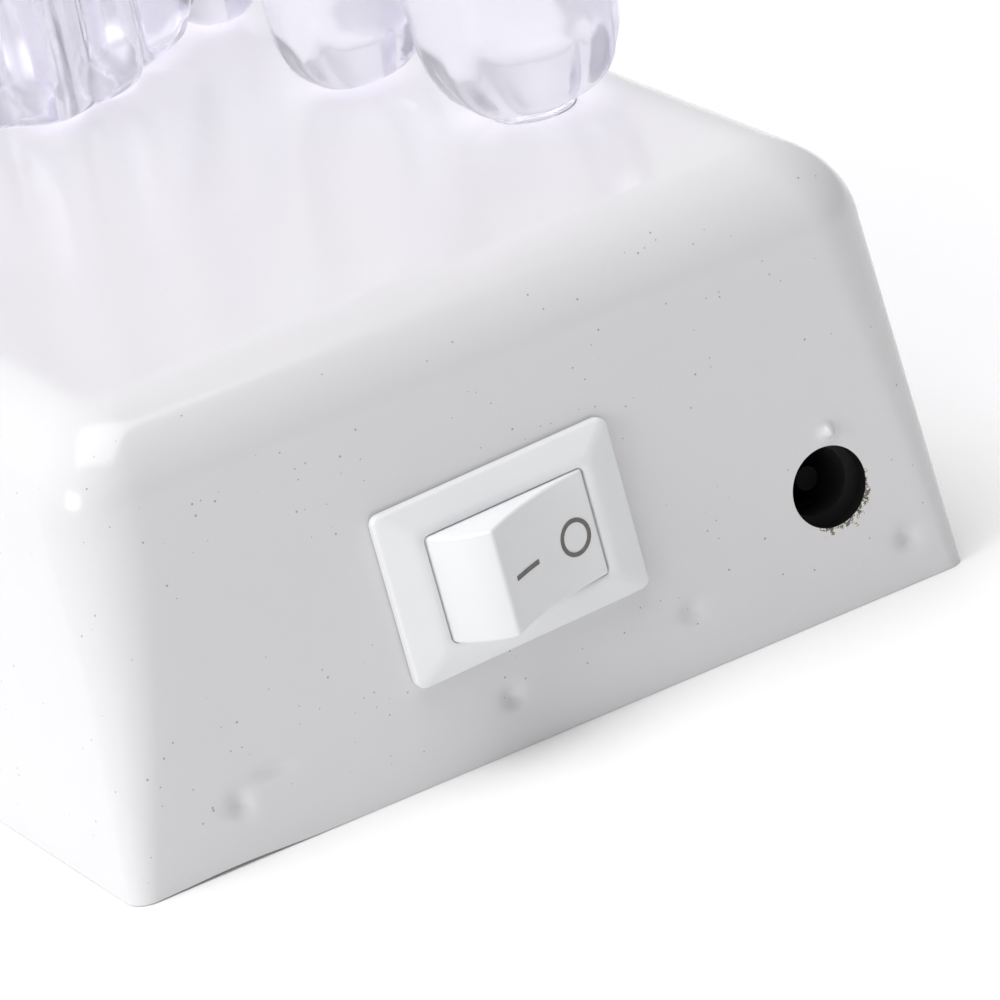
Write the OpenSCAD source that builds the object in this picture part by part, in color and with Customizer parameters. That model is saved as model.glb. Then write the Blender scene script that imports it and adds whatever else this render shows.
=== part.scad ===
// Lamp with a clear cast angel on a white painted sheet base.
// Origin at the middle of the rest face, +Z up, the angel faces -Y, the switch is on the +X end.

/* [Base] */
// Length of the base at its foot
base_l = 156; // [150:1:170]
// Width of the base at its foot if both long walls flared alike
base_w = 78; // [74:1:84]
// Height of the base top above the table
base_h = 37; // [34:1:42]
// Sheet thickness of the base shell
shell_wall = 1.2; // [0.8:0.1:1.6]
// Lean of the two end walls, in degrees
end_draft = 3; // [2:0.5:5]
// Lean of the long walls above their knee, in degrees
side_draft = 1; // [0.5:0.5:4]
// Lean of the front wall below its knee, in degrees
foot_flare = 7; // [4:0.5:8]
// Lean of the back wall below its knee, in degrees
back_flare = 1; // [1:0.5:7]
// Height of that knee
knee_up = 16.5; // [14:0.5:20]
// Fillet between the walls and the top
top_fillet = 7.6; // [5:0.2:9]
// Corner radius of the base in plan
corner_r = 6.3; // [5:0.1:8]
// Radius of the upright corners at the foot
foot_corner_r = 1.8; // [1.6:0.1:4]
// Gap between the table and the shell's rim
rim_lift = 0.2; // [0.1:0.1:0.6]

/* [Bottom] */
// Thickness of the foam pad the lamp stands on
pad_t = 1.2; // [1:0.1:2]
// Thickness of the bottom plate
plate_t = 1.5; // [1:0.1:2]
// Radius of the four posts that take the bottom screws
post_r = 2.8; // [2.5:0.1:3]
// Distance of the posts from the ends of the base
post_inset = 23.8; // [23.4:0.1:24]
// Distance of the posts from the sides of the base
post_side = 13.5; // [13:0.5:15]

/* [Switch] */
// Centre of the switch along the end wall
switch_y = -2; // [-8:0.1:2]
// Centre of the switch up the end wall
switch_up = 15.85; // [14:0.05:18]
// Turn of the switch in the end wall, in degrees
switch_turn = 2.2; // [0:0.1:3]
// Length of the switch bezel
bezel_l = 21.3; // [21:0.1:22]
// Height of the switch bezel
bezel_h = 14.6; // [14.4:0.1:15.4]
// Thickness of the switch bezel
bezel_t = 1.9; // [1.6:0.1:2.2]
// Length of the rocker opening
rocker_gap_l = 14.7; // [14.5:0.1:15]
// Height of the rocker opening
rocker_gap_h = 9.1; // [8.8:0.1:9.4]
// Tilt of the rocker either side of level, in degrees
rocker_tilt = 21.5; // [19:0.5:22]
// Depth of the rocker pivot below the bezel face
pivot_depth = 2.4; // [2.2:0.1:2.8]
// Radius of the rocker trunnions
trunnion_r = 1.5; // [1.2:0.1:1.7]
// Tilt of the contact lever either side of level, in degrees
lever_tilt = 8; // [6:0.5:8]

/* [Power socket] */
// Distance of the plug hole's centre from the side of the base
plug_inset = 12.5; // [12:0.1:14]
// Centre of the plug hole up the end wall
plug_up = 10.5; // [10:0.1:12]
// Radius of the plug hole in the shell
plug_hole_r = 3.35; // [3.1:0.05:3.6]
// Radius of the socket bore
socket_bore_r = 2.85; // [2.8:0.05:3]
// Radius of the socket barrel
barrel_r = 4; // [3.8:0.1:4.2]
// Length of the socket barrel
barrel_l = 11; // [10:0.5:12]
// Radius of the centre pin
socket_pin_r = 1; // [0.9:0.05:1.05]

/* [Light] */
// Distance of the light board's ends from the ends of the base
board_inset = 29; // [28.5:0.25:29.5]
// Width of the light board
board_w = 42; // [41:1:44]
// Thickness of the light board
board_t = 1.6; // [1:0.1:2]
// Depth of the light board below the base top
board_drop = 10; // [9.5:0.1:11]
// Half spacing of the board standoffs along the board
standoff_x = 30; // [27:0.5:36]
// Radius of the board standoffs
standoff_r = 2.5; // [2.2:0.1:2.8]

/* [Angel] */
// Mean radius of the gown at its hem
hem_r = 11.4; // [10.6:0.1:12.4]
// Depth of the gown's folds at the hem
fold_depth = 3.4; // [2:0.1:3.6]
// Number of folds round the gown
fold_count = 8; // [6:2:10]
// Height of the neck above the base top
neck_up = 101; // [98:1:106]
// Height of the head
head_h = 18.5; // [17:0.5:20]
// Radius of the spigot under the gown
gown_spigot_r = 6.8; // [6:0.1:7]
// Radius of the spigot under each wing
wing_spigot_r = 3.5; // [3:0.1:4]
// Radius of the dowels that carry the wings
dowel_r = 1.5; // [1.2:0.1:1.8]

/* [Hidden] */

// Clearances: parts that seat on each other, holes round their pins, parts that turn
seat_gap = 0.05;
hole_gap = 0.2;
run_gap = 0.05;

slice_t = 0.01;
fillet_steps = 6;
plate_gap = 0.6;
pad_inset = 3;

shaft_r = 1.5;
screw_head_r = 2.7;
screw_head_t = 0.8;
screw_grip = 6;

plate_z = pad_t + seat_gap;
post_x = base_l / 2 - post_inset;
post_y = base_w / 2 - post_side;
plate_top_z = plate_z + plate_t;
ceiling_z = base_h - shell_wall;
board_top_z = base_h - board_drop;
board_z = board_top_z - board_t;

// Rocker: two ridges on one circle round the pivot, with a shallow hollow between them
pivot_x = bezel_t - pivot_depth;
ridge_half = 5.6;
ridge_up = 4.85;
rocker_r = norm([ridge_half, ridge_up]);
lip_x = bezel_t - 0.6;
cavity_l = 2 * (rocker_r + 0.3);
edge_x = bezel_t / 2;
rocker_w = rocker_gap_h - 2 * hole_gap;
rocker_skirt = 2.4;
rocker_wall = 1.1;
hollow_r = 23;
hollow_sag = ridge_half * ridge_half / (2 * hollow_r);
trunnion_l = 1;
rocker_post_r = 1.9;
rocker_post_l = 4.2;
plunger_r = 0.95;
plunger_reach = 6.2;
plunger_l = 3.4;
spring_r = 0.62;
spring_wire_r = 0.15;
spring_turns = 5;
spring_top = 0.6;

// Housing behind the wall and the lever on its fulcrum rod
housing_l = bezel_l - 2.2;
housing_h = bezel_h - 2.1;
housing_d = 11.2;
housing_floor = 1.2;
clip_l = 5;
clip_out = 0.7;
lever_t = 0.5;
lever_half = 4.6;
lever_w = 4;
fulcrum_r = 0.4;
lever_x = pivot_x - plunger_reach - run_gap;
fulcrum_x = lever_x - lever_t - fulcrum_r - run_gap;
knuckle_r = 0.85;
contact_r = 0.9;
contact_t = 0.4;
contact_y = 3.6;
contact_play = 0.12;
load_top_x = fulcrum_x - (contact_y + contact_r) * sin(lever_tilt) - contact_t - contact_play;
blade_t = 0.8;
blade_w = 4.8;
blade_l = 8;
blade_tip_x = -housing_d - blade_l;

// Power socket: flange and nut either side of a bent bracket
plug_y = base_w / 2 - plug_inset;
bracket_t = 1;
flange_r = barrel_r + 0.9;
flange_t = 1.2;
flange_front_x = -shell_wall - seat_gap - bracket_t - seat_gap;
bracket_plate_x = flange_front_x - flange_t - seat_gap;
barrel_end_x = flange_front_x - barrel_l;
bore_floor = 2;
nut_t = 2;
nut_af = 2 * barrel_r + 3;
bracket_half = 5;
bracket_low = plug_up - flange_r - 0.6;
bracket_high = plug_up + flange_r + 2.2;
bracket_flange_low = plug_up + plug_hole_r + 0.4;
tab_l = 4;
tab_w = 1.6;
tab_t = 0.4;
tab_up = 2.4;

// Feet of the figure on the base top
wing_inset = 32.6;
wing_foot = [base_l / 2 - wing_inset, 23.5];
wing_foot_r = 8.5;
inner_foot = [25.7, 18];
inner_foot_r = 6.5;
train_foot = [0, 18];
train_foot_r = 4.5;
spigot_reach = 6;
retainer_t = 1;
retainer_rim = 2.2;

board_l = base_l - 2 * board_inset;
board_y = 9;
standoff_ys = [board_y - board_w / 2 + 4, board_y + board_w / 2 - 4];
emitter = [5, 5, 1.2];
resistor = [3.2, 1.6, 0.6];
resistor_ys = [-6, -2];
light_spots = [[0, 0], wing_foot, [-wing_foot.x, wing_foot.y]];

wire_r = 0.7;
wire_sides = 8;
wire_steps = 3;
wire_end_gap = 0.2;
wire_lead = 1.8;
wire_dip = 3;
wire_rise = 4.5;
pad_inset_x = 9;
pad_pitch = 16;
switched_pad = [board_l / 2 - pad_inset_x, board_y - pad_pitch + 1, board_z - wire_end_gap];
return_pad = [switched_pad.x, switched_pad.y + pad_pitch, switched_pad.z];

// Shape helpers

function mix(a, b, t) = a + (b - a) * t;
function unit(v) = v / norm(v);

// Cubic through four values of equal spacing, at t between the middle two
function cubic(a, b, c, d, t) =
    0.5 * (2 * b + (c - a) * t + (2 * a - 5 * b + 4 * c - d) * t * t + (3 * b - a - 3 * c + d) * t * t * t);

// Smooth path through the points of a list
function smooth_path(pts, steps) = concat(
    [for (i = [0 : len(pts) - 2], k = [0 : steps - 1])
        cubic(pts[max(i - 1, 0)], pts[i], pts[i + 1], pts[min(i + 2, len(pts) - 1)], k / steps)],
    [pts[len(pts) - 1]]);

// Value of one column of a station table at a height, smooth between the stations
function station(table, h, col, i = 0) =
    h >= table[i + 1][0] && i < len(table) - 2 ? station(table, h, col, i + 1) :
    cubic(table[max(i - 1, 0)][col], table[i][col], table[i + 1][col],
        table[min(i + 2, len(table) - 1)][col],
        (h - table[i][0]) / (table[i + 1][0] - table[i][0]));

// Closed skin over rings of equal point count
module skin(rings) {
    n = len(rings[0]);
    m = len(rings);
    points = [for (r = rings, p = r) p];
    sides = [for (i = [0 : m - 2], k = [0 : n - 1], half = [0, 1])
        half == 0 ? [i * n + k, (i + 1) * n + (k + 1) % n, i * n + (k + 1) % n]
            : [i * n + k, (i + 1) * n + k, (i + 1) * n + (k + 1) % n]];
    first = [for (k = [0 : n - 1]) k];
    last = [for (k = [0 : n - 1]) m * n - 1 - k];
    polyhedron(points, concat([first], sides, [last]));
}

// Direction of a path at one of its points
function heading(path, i) = unit(path[min(i + 1, len(path) - 1)] - path[max(i - 1, 0)]);

// Oval ring square to a heading, with its flat way near the given axis
function oval_ring(centre, along, flat, wide, thick, sides) =
    let (w = unit(cross(flat, along)), b = cross(along, w))
    [for (k = [0 : sides - 1])
        centre + w * wide * cos(360 * k / sides) + b * thick * sin(360 * k / sides)];

module round_tube(path, r, sides, flat = [0, 1, 0.13]) {
    skin([for (i = [0 : len(path) - 1]) oval_ring(path[i], heading(path, i), flat, r, r, sides)]);
}

module rounded_plate(l, w, r, t) {
    linear_extrude(t) offset(r = r, $fn = 40) square([l - 2 * r, w - 2 * r], center = true);
}

// Places children on the switch end wall: X out of the wall, Y along it, Z up it
module on_end_wall(side, up) {
    translate([base_l / 2, 0, 0]) rotate([0, -end_draft, 0]) translate([0, side, up]) children();
}

// Places children in the switch's frame, turned in the wall
module on_switch() {
    on_end_wall(switch_y, switch_up) rotate([switch_turn, 0, 0]) children();
}

// A point of that wall in the lamp's own frame
function wall_point(out, side, up) = [
    base_l / 2 + out * cos(end_draft) - up * sin(end_draft),
    side,
    out * sin(end_draft) + up * cos(end_draft)];

// A point of the switch's frame, on its middle line
function switch_point(out, along) =
    wall_point(out, switch_y + along * cos(switch_turn), switch_up + along * sin(switch_turn));

// Cylinder along the wall's outward axis between two depths
module wall_rod(from_x, to_x, r, fn = 64) {
    translate([from_x, 0, 0]) rotate([0, 90, 0]) cylinder(h = to_x - from_x, r = r, $fn = fn);
}

// Box centred on the wall's outward axis between two depths
module wall_block(from_x, to_x, l, h) {
    translate([from_x, -l / 2, -h / 2]) cube([to_x - from_x, l, h]);
}

// Base

// How far the front wall has leaned in at a height
function front_in(z) = min(z, knee_up) * tan(foot_flare) + max(z - knee_up, 0) * tan(side_draft);

// The same for the back wall, which flares less below its knee
function back_in(z) = front_in(z) + max(knee_up - z, 0) * (tan(foot_flare) - tan(back_flare));

// Middle and width of the base across at a height
function mid_y(z) = (front_in(z) - back_in(z)) / 2;
function width_at(z) = base_w - front_in(z) - back_in(z);

// Thin slice of the base: s gives its height and how far the top edge has turned in
module base_slice(inset, s) {
    shoulder_z = base_h - top_fillet;
    wall_z = min(s[0], shoulder_z);
    l = base_l - 2 * (wall_z * tan(end_draft) + inset + s[1]);
    w = width_at(wall_z) - 2 * (inset + s[1]);
    r = mix(foot_corner_r, corner_r, wall_z / shoulder_z) - inset - s[1] / 2;
    translate([0, mid_y(wall_z), s[0] - slice_t]) rounded_plate(l, w, max(r, 0.8), slice_t);
}

// Solid of the base, moved in from its outer skin by the given amount
module base_solid(inset, from_z) {
    fillet = top_fillet - inset;
    shoulder_z = base_h - top_fillet;
    knee = [knee_up, 0];
    edge = [for (i = [0 : fillet_steps]) let (a = 90 * i / fillet_steps)
        [shoulder_z + fillet * sin(a), fillet * (1 - cos(a))]];
    hull() for (s = [[from_z, 0], knee]) base_slice(inset, s);
    hull() for (s = concat([knee], edge)) base_slice(inset, s);
}

module base_shell() {
    color("white") difference() {
        base_solid(0, rim_lift);
        base_solid(shell_wall, rim_lift - 1);
        on_end_wall(plug_y, plug_up) wall_rod(-shell_wall - 2, 2, plug_hole_r);
        on_switch()
            wall_block(-shell_wall - 2, 2, housing_l + 2 * hole_gap, housing_h + 2 * hole_gap);
        translate([0, 0, ceiling_z - 1]) cylinder(h = shell_wall + 2, r = gown_spigot_r + hole_gap, $fn = 64);
        for (side = [-1, 1]) translate([side * wing_foot.x, wing_foot.y, ceiling_z - 1])
            cylinder(h = shell_wall + 2, r = wing_spigot_r + hole_gap, $fn = 48);
    }
}

module at_posts() {
    for (x = [-post_x, post_x], y = [-post_y, post_y]) translate([x, y, 0]) children();
}

module bottom_plate() {
    inset = shell_wall + plate_gap;
    l = base_l - 2 * (inset + front_in(plate_top_z));
    w = width_at(plate_top_z) - 2 * inset;
    color("gainsboro") difference() {
        translate([0, mid_y(plate_top_z), plate_z]) rounded_plate(l, w, corner_r - shell_wall, plate_t);
        at_posts() translate([0, 0, plate_z - 1]) cylinder(h = plate_t + 2, r = shaft_r + hole_gap, $fn = 32);
    }
}

module bottom_pad() {
    color("dimgray") difference() {
        translate([0, mid_y(0), 0])
            rounded_plate(base_l - 2 * pad_inset, width_at(0) - 2 * pad_inset, corner_r - 1, pad_t);
        at_posts() translate([0, 0, -1]) cylinder(h = pad_t + 2, r = screw_head_r + 0.5, $fn = 32);
    }
}

module plate_posts() {
    color("silver") at_posts() difference() {
        translate([0, 0, plate_top_z + seat_gap])
            cylinder(h = ceiling_z - plate_top_z - 2 * seat_gap, r = post_r, $fn = 32);
        cylinder(h = plate_top_z + screw_grip + 2, r = shaft_r + run_gap, $fn = 32);
    }
}

module plate_screws() {
    color("silver") at_posts() {
        translate([0, 0, plate_z - seat_gap - screw_head_t])
            cylinder(h = screw_head_t, r = screw_head_r, $fn = 32);
        translate([0, 0, plate_z - seat_gap]) cylinder(h = plate_t + screw_grip, r = shaft_r, $fn = 32);
    }
}

// Switch

module switch_housing() {
    color("white") on_switch() difference() {
        union() {
            hull() {
                translate([seat_gap, 0, 0]) rotate([90, 0, 90])
                    rounded_plate(bezel_l, bezel_h, 0.8, edge_x - seat_gap);
                translate([bezel_t - slice_t, 0, 0]) rotate([90, 0, 90])
                    rounded_plate(rocker_gap_l + 1.4, rocker_gap_h + 1.4, 0.7, slice_t);
            }
            wall_block(-housing_d, edge_x, housing_l, housing_h);
            for (end = [-1, 1]) translate([-shell_wall - 0.3, end * housing_l / 2, 0]) snap_clip(end);
        }
        wall_block(-housing_d + housing_floor, lip_x, cavity_l, rocker_gap_h);
        wall_block(lip_x - 1, bezel_t + 1, rocker_gap_l, rocker_gap_h);
        translate([pivot_x, 0, -rocker_gap_h / 2 - trunnion_l - 2 * hole_gap])
            cylinder(h = rocker_gap_h + 2 * trunnion_l + 4 * hole_gap, r = trunnion_r + run_gap, $fn = 48);
        terminal_slot(0);
        terminal_slot(contact_y);
    }
}

// Sprung wedge that locks the housing behind the wall
module snap_clip(end) {
    translate([0, 0, -blade_w / 2]) linear_extrude(blade_w)
        polygon([[0, 0], [0, end * clip_out], [-clip_l, 0]]);
}

module terminal_slot(side) {
    translate([0, side, 0])
        wall_block(-housing_d - 1, -housing_d + housing_floor + 1,
            blade_t + 2 * seat_gap, blade_w + 2 * seat_gap);
}

// Places children in the rocker's own frame, pivot at the origin and X out of its top
module in_rocker() {
    on_switch() translate([pivot_x, 0, 0]) rotate([0, 0, rocker_tilt]) children();
}

module switch_rocker() {
    color("white") in_rocker() difference() {
        union() {
            intersection() {
                translate([0, 0, -rocker_w / 2]) cylinder(h = rocker_w, r = rocker_r, $fn = 96);
                wall_block(-rocker_skirt, ridge_up, 2 * rocker_r + 2, rocker_w);
            }
            wall_rod(-rocker_post_l, 0, rocker_post_r);
            trunnion_end = rocker_gap_h / 2 + trunnion_l;
            translate([0, 0, -trunnion_end]) cylinder(h = 2 * trunnion_end, r = trunnion_r, $fn = 48);
        }
        translate([ridge_up - hollow_sag + hollow_r, 0, -rocker_w])
            cylinder(h = 2 * rocker_w, r = hollow_r, $fn = 96);
        for (end = [-1, 1]) rocker_pocket(end);
        wall_rod(-rocker_post_l - 1, spring_top, plunger_r + hole_gap / 2, 32);
    }
}

// Hollow under one half of the rocker
module rocker_pocket(end) {
    pocket_r = rocker_r - rocker_wall;
    intersection() {
        translate([0, 0, -rocker_w / 2 + rocker_wall])
            cylinder(h = rocker_w - 2 * rocker_wall, r = pocket_r, $fn = 64);
        translate([-rocker_skirt - 1, end > 0 ? trunnion_r + rocker_wall : -rocker_r, -rocker_w / 2])
            cube([rocker_skirt + ridge_up - rocker_wall, rocker_r - trunnion_r - rocker_wall, rocker_w]);
    }
}

module switch_plunger() {
    color("whitesmoke") in_rocker() {
        tip_x = -plunger_reach + plunger_r;
        translate([tip_x, 0, 0]) rotate([0, 90, 0]) rotate_extrude($fn = 48)
            intersection() {
                union() {
                    circle(r = plunger_r, $fn = 48);
                    square([plunger_r, plunger_l - plunger_r]);
                }
                translate([0, -plunger_r]) square([plunger_r, plunger_l]);
            }
    }
}

// Coil spring between the plunger and the bottom of its bore
module switch_spring() {
    from_x = -plunger_reach + plunger_l + spring_wire_r + seat_gap;
    to_x = spring_top - spring_wire_r - seat_gap;
    steps = 8 * spring_turns;
    path = [for (i = [0 : steps]) let (a = 360 * spring_turns * i / steps)
        [mix(from_x, to_x, i / steps), spring_r * cos(a), spring_r * sin(a)]];
    color("silver") in_rocker()
        skin([for (i = [0 : steps])
            oval_ring(path[i], heading(path, i), [1, 0, 0], spring_wire_r, spring_wire_r, 6)]);
}

module contact_lever() {
    color("goldenrod") on_switch() translate([fulcrum_x, 0, 0]) rotate([0, 0, -lever_tilt])
        difference() {
            union() {
                translate([lever_x - lever_t - fulcrum_x, -lever_half, -lever_w / 2])
                    cube([lever_t, 2 * lever_half, lever_w]);
                translate([0, 0, -lever_w / 2]) intersection() {
                    cylinder(h = lever_w, r = knuckle_r, $fn = 48);
                    translate([-fulcrum_r / 2, -knuckle_r, 0])
                        cube([lever_x - lever_t - fulcrum_x + fulcrum_r, 2 * knuckle_r, lever_w]);
                }
                translate([lever_x - lever_t - fulcrum_x - contact_t, contact_y, 0])
                    rotate([0, 90, 0]) cylinder(h = contact_t + lever_t / 2, r = contact_r, $fn = 32);
            }
            translate([0, 0, -lever_w]) cylinder(h = 2 * lever_w, r = fulcrum_r + run_gap, $fn = 48);
        }
}

module terminal_blade(side, from_x) {
    translate([0, side, 0]) wall_block(blade_tip_x, from_x, blade_t, blade_w);
}

module common_terminal() {
    cheek_z = lever_w / 2 + hole_gap;
    cheek_t = blade_w / 2 - cheek_z + 1.2;
    color("gold") on_switch() {
        terminal_blade(0, -housing_d + housing_floor + 0.6);
        translate([-housing_d + housing_floor + seat_gap, -1, -cheek_z - cheek_t])
            cube([0.6 - seat_gap, 2, 2 * (cheek_z + cheek_t)]);
        for (end = [-1, 1])
            translate([-housing_d + housing_floor + seat_gap, -1, end > 0 ? cheek_z : -cheek_z - cheek_t])
            cube([fulcrum_x + housing_d - housing_floor + 2 * fulcrum_r, 2, cheek_t]);
        translate([fulcrum_x, 0, -cheek_z - cheek_t / 2])
            cylinder(h = 2 * cheek_z + cheek_t, r = fulcrum_r, $fn = 48);
    }
}

module load_terminal() {
    color("gold") on_switch() {
        terminal_blade(contact_y, load_top_x - contact_t);
        translate([0, contact_y, 0]) wall_rod(load_top_x - contact_t - 0.4, load_top_x, contact_r, 32);
    }
}

// Power socket

module socket_body() {
    color("dimgray") on_end_wall(plug_y, plug_up) difference() {
        union() {
            wall_rod(flange_front_x - flange_t, flange_front_x, flange_r);
            wall_rod(barrel_end_x, flange_front_x - flange_t / 2, barrel_r);
        }
        wall_rod(barrel_end_x + bore_floor, flange_front_x + 1, socket_bore_r);
        wall_rod(barrel_end_x - 1, barrel_end_x + bore_floor + 1, socket_pin_r + seat_gap, 32);
        translate([0, 0, -tab_up]) wall_block(barrel_end_x - 1, barrel_end_x + bore_floor + 1,
            tab_w + 2 * seat_gap, tab_t + 2 * seat_gap);
    }
}

module socket_pin() {
    tip_x = flange_front_x - flange_t;
    color("silver") on_end_wall(plug_y, plug_up) wall_rod(barrel_end_x - tab_l, tip_x, socket_pin_r, 48);
}

// Sprung strip along the bore, with its solder tab behind
module socket_contact() {
    color("silver") on_end_wall(plug_y, plug_up) translate([0, 0, -tab_up])
        wall_block(barrel_end_x - tab_l, flange_front_x - flange_t - 1, tab_w, tab_t);
}

module socket_nut() {
    nut_front_x = bracket_plate_x - bracket_t - seat_gap;
    color("silver") on_end_wall(plug_y, plug_up) difference() {
        translate([nut_front_x - nut_t, 0, 0]) rotate([0, 90, 0])
            cylinder(h = nut_t, r = nut_af / (2 * cos(30)), $fn = 6);
        wall_rod(nut_front_x - nut_t - 1, nut_front_x + 1, barrel_r + run_gap);
    }
}

// Strip bent twice: welded to the wall over the plug hole, hanging behind it
module socket_bracket() {
    wall_x = -shell_wall - seat_gap;
    color("silver") on_end_wall(plug_y, 0) difference() {
        translate([0, bracket_half, 0]) rotate([90, 0, 0]) linear_extrude(2 * bracket_half) polygon([
            [wall_x, bracket_flange_low],
            [wall_x, bracket_high + bracket_t],
            [bracket_plate_x - bracket_t, bracket_high + bracket_t],
            [bracket_plate_x - bracket_t, bracket_low],
            [bracket_plate_x, bracket_low],
            [bracket_plate_x, bracket_high],
            [wall_x - bracket_t, bracket_high],
            [wall_x - bracket_t, bracket_flange_low]]);
        translate([0, 0, plug_up])
            wall_rod(bracket_plate_x - bracket_t - 1, bracket_plate_x + 1, barrel_r + run_gap);
    }
}

// Light

module at_standoffs() {
    for (x = [-standoff_x, standoff_x], y = standoff_ys) translate([x, y, 0]) children();
}

module led_board() {
    color("white") difference() {
        translate([0, board_y, board_z]) rounded_plate(board_l, board_w, 3, board_t);
        at_standoffs() translate([0, 0, board_z - 1])
            cylinder(h = board_t + 2, r = shaft_r + hole_gap, $fn = 32);
    }
}

module led_emitters() {
    color("lemonchiffon") for (p = light_spots) translate([p.x, p.y, board_top_z + seat_gap]) {
        translate([-emitter.x / 2, -emitter.y / 2, 0]) cube(emitter);
        cylinder(h = emitter.z + 0.4, r = emitter.x * 0.35, $fn = 32);
    }
}

module led_resistors() {
    color("black") for (side = [-1, 1], y = resistor_ys)
        translate([side * wing_foot.x / 2 - resistor.x / 2, y, board_top_z + seat_gap]) cube(resistor);
}

module board_standoffs() {
    color("silver") at_standoffs() difference() {
        translate([0, 0, board_top_z + seat_gap])
            cylinder(h = ceiling_z - board_top_z - 2 * seat_gap, r = standoff_r, $fn = 6);
        translate([0, 0, board_top_z - 1]) cylinder(h = screw_grip + 1, r = shaft_r + run_gap, $fn = 32);
    }
}

module board_screws() {
    color("silver") at_standoffs() {
        translate([0, 0, board_z - seat_gap - screw_head_t])
            cylinder(h = screw_head_t, r = screw_head_r, $fn = 32);
        translate([0, 0, board_z - seat_gap]) cylinder(h = board_t + screw_grip - 1, r = shaft_r, $fn = 32);
    }
}

// Wires: end at the solder tabs and at pads under the board

module wire(points) {
    round_tube(smooth_path(points, wire_steps), wire_r, wire_sides);
}

// Straight leads of three points, from the end of a tab, a blade or a pad to where the wire bends away
lead_steps = [0, 0.5, 1];

function tab_lead(up) = [for (t = lead_steps)
    wall_point(barrel_end_x - tab_l - wire_end_gap - t * wire_lead, plug_y, up)];

function blade_lead(along, length) = [for (t = lead_steps)
    switch_point(blade_tip_x - wire_end_gap - t * length, along)];

function pad_lead(pad) = [for (t = lead_steps) pad - [0, 0, t * wire_rise]];

function reverse(list) = [for (i = [len(list) - 1 : -1 : 0]) list[i]];

// Passes below the switched wire on its way to the middle blade
module supply_wire() {
    start = tab_lead(plug_up);
    finish = blade_lead(0, 2 * wire_lead);
    low = [finish[2].x, switch_y + contact_y + 2 * wire_r, finish[2].z - wire_dip];
    color("firebrick") wire(concat(start, [mix(start[2], low, 0.4), low], reverse(finish)));
}

module switched_wire() {
    start = blade_lead(contact_y, wire_lead);
    finish = pad_lead(switched_pad);
    color("firebrick") wire(concat(start, [mix(start[2], finish[2], 0.5)], reverse(finish)));
}

module return_wire() {
    start = tab_lead(plug_up - tab_up);
    finish = pad_lead(return_pad);
    corner = [start[2].x, mix(start[2].y, return_pad.y, 0.45), start[2].z - wire_r];
    color("black") wire(concat(start, [corner, mix(corner, finish[2], 0.5)], reverse(finish)));
}

// Angel: stations up the figure give half width, half depth and depth of the folds

figure_stations = [
    [0, hem_r - 2, hem_r - 2, fold_depth * 0.1],
    [1, hem_r - 0.8, hem_r - 0.8, fold_depth * 0.62],
    [2.6, hem_r - 0.2, hem_r - 0.2, fold_depth * 0.86],
    [5.5, hem_r, hem_r, fold_depth],
    [12, hem_r, hem_r, fold_depth * 0.9],
    [24, hem_r, hem_r - 0.2, fold_depth * 0.7],
    [40, hem_r - 0.6, hem_r - 1, fold_depth * 0.48],
    [56, hem_r - 1.6, hem_r - 2.6, fold_depth * 0.28],
    [neck_up - 33, hem_r - 3.2, hem_r - 4.8, fold_depth * 0.14],
    [neck_up - 26, hem_r - 2.6, hem_r - 4.6, fold_depth * 0.06],
    [neck_up - 15, hem_r - 0.6, hem_r - 3.8, 0],
    [neck_up - 7, hem_r + 0.1, hem_r - 4.6, 0],
    [neck_up - 3.5, hem_r - 3.2, hem_r - 6, 0],
    [neck_up - 1, 4.3, 4.3, 0],
    [neck_up + 3, 3.7, 3.9, 0],
    [neck_up + 8, 3.4, 3.6, 0]];
figure_sides = 48;
fold_start = -14.6;
figure_levels = concat([0, 0.4, 1, 1.7, 2.6, 4, 5.5, 8],
    [for (h = [12 : 8 : neck_up - 36]) h], [for (h = [neck_up - 33 : 3.2 : neck_up + 8]) h]);
head_up = neck_up + head_h * 0.63;
head_half = [head_h * 0.36, head_h * 0.42, head_h * 0.5];
shoulder = [hem_r - 0.6, 0.5, neck_up - 8];
elbow = [hem_r + 3.2, -4, neck_up - 25];
wrist = [4.2, -12.5, neck_up - 16];
hand_tip = [1, -14.5, neck_up - 6];

// Deep folds alternate with shallow ones round the gown
function fold(a) = 0.53 * cos(fold_count * (a - fold_start)) + 0.47 * cos(fold_count / 2 * (a - fold_start));

function figure_ring(h) = [for (k = [0 : figure_sides - 1])
    let (a = 360 * k / figure_sides, f = station(figure_stations, h, 3) * fold(a))
    [(station(figure_stations, h, 1) + f) * cos(a), (station(figure_stations, h, 2) + f) * sin(a), h]];

// Head: an egg with brow, nose, lips and chin raised on its front
function face_bump(a, v) =
    let (front = pow(max(cos(a + 90), 0), 24), near = pow(max(cos(a + 90), 0), 5))
    1.5 * front * exp(-pow((v + 0.12) / 0.16, 2))
    + 0.5 * near * exp(-pow((v - 0.16) / 0.1, 2))
    + 0.45 * near * exp(-pow((v + 0.42) / 0.08, 2))
    + 0.8 * near * exp(-pow((v + 0.68) / 0.12, 2))
    - 0.4 * near * exp(-pow((v - 0.02) / 0.1, 2));
head_sides = 32;
head_rows = 15;

function head_ring(i) = let (v = -cos(180 * (i + 0.5) / head_rows), s = sqrt(1 - v * v))
    [for (k = [0 : head_sides - 1]) let (a = 360 * k / head_sides, jaw = 1 - 0.16 * max(-v, 0))
        [(head_half.x * s * jaw + face_bump(a, v)) * cos(a),
            (head_half.y * s * jaw + face_bump(a, v)) * sin(a), head_half.z * v]];

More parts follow.
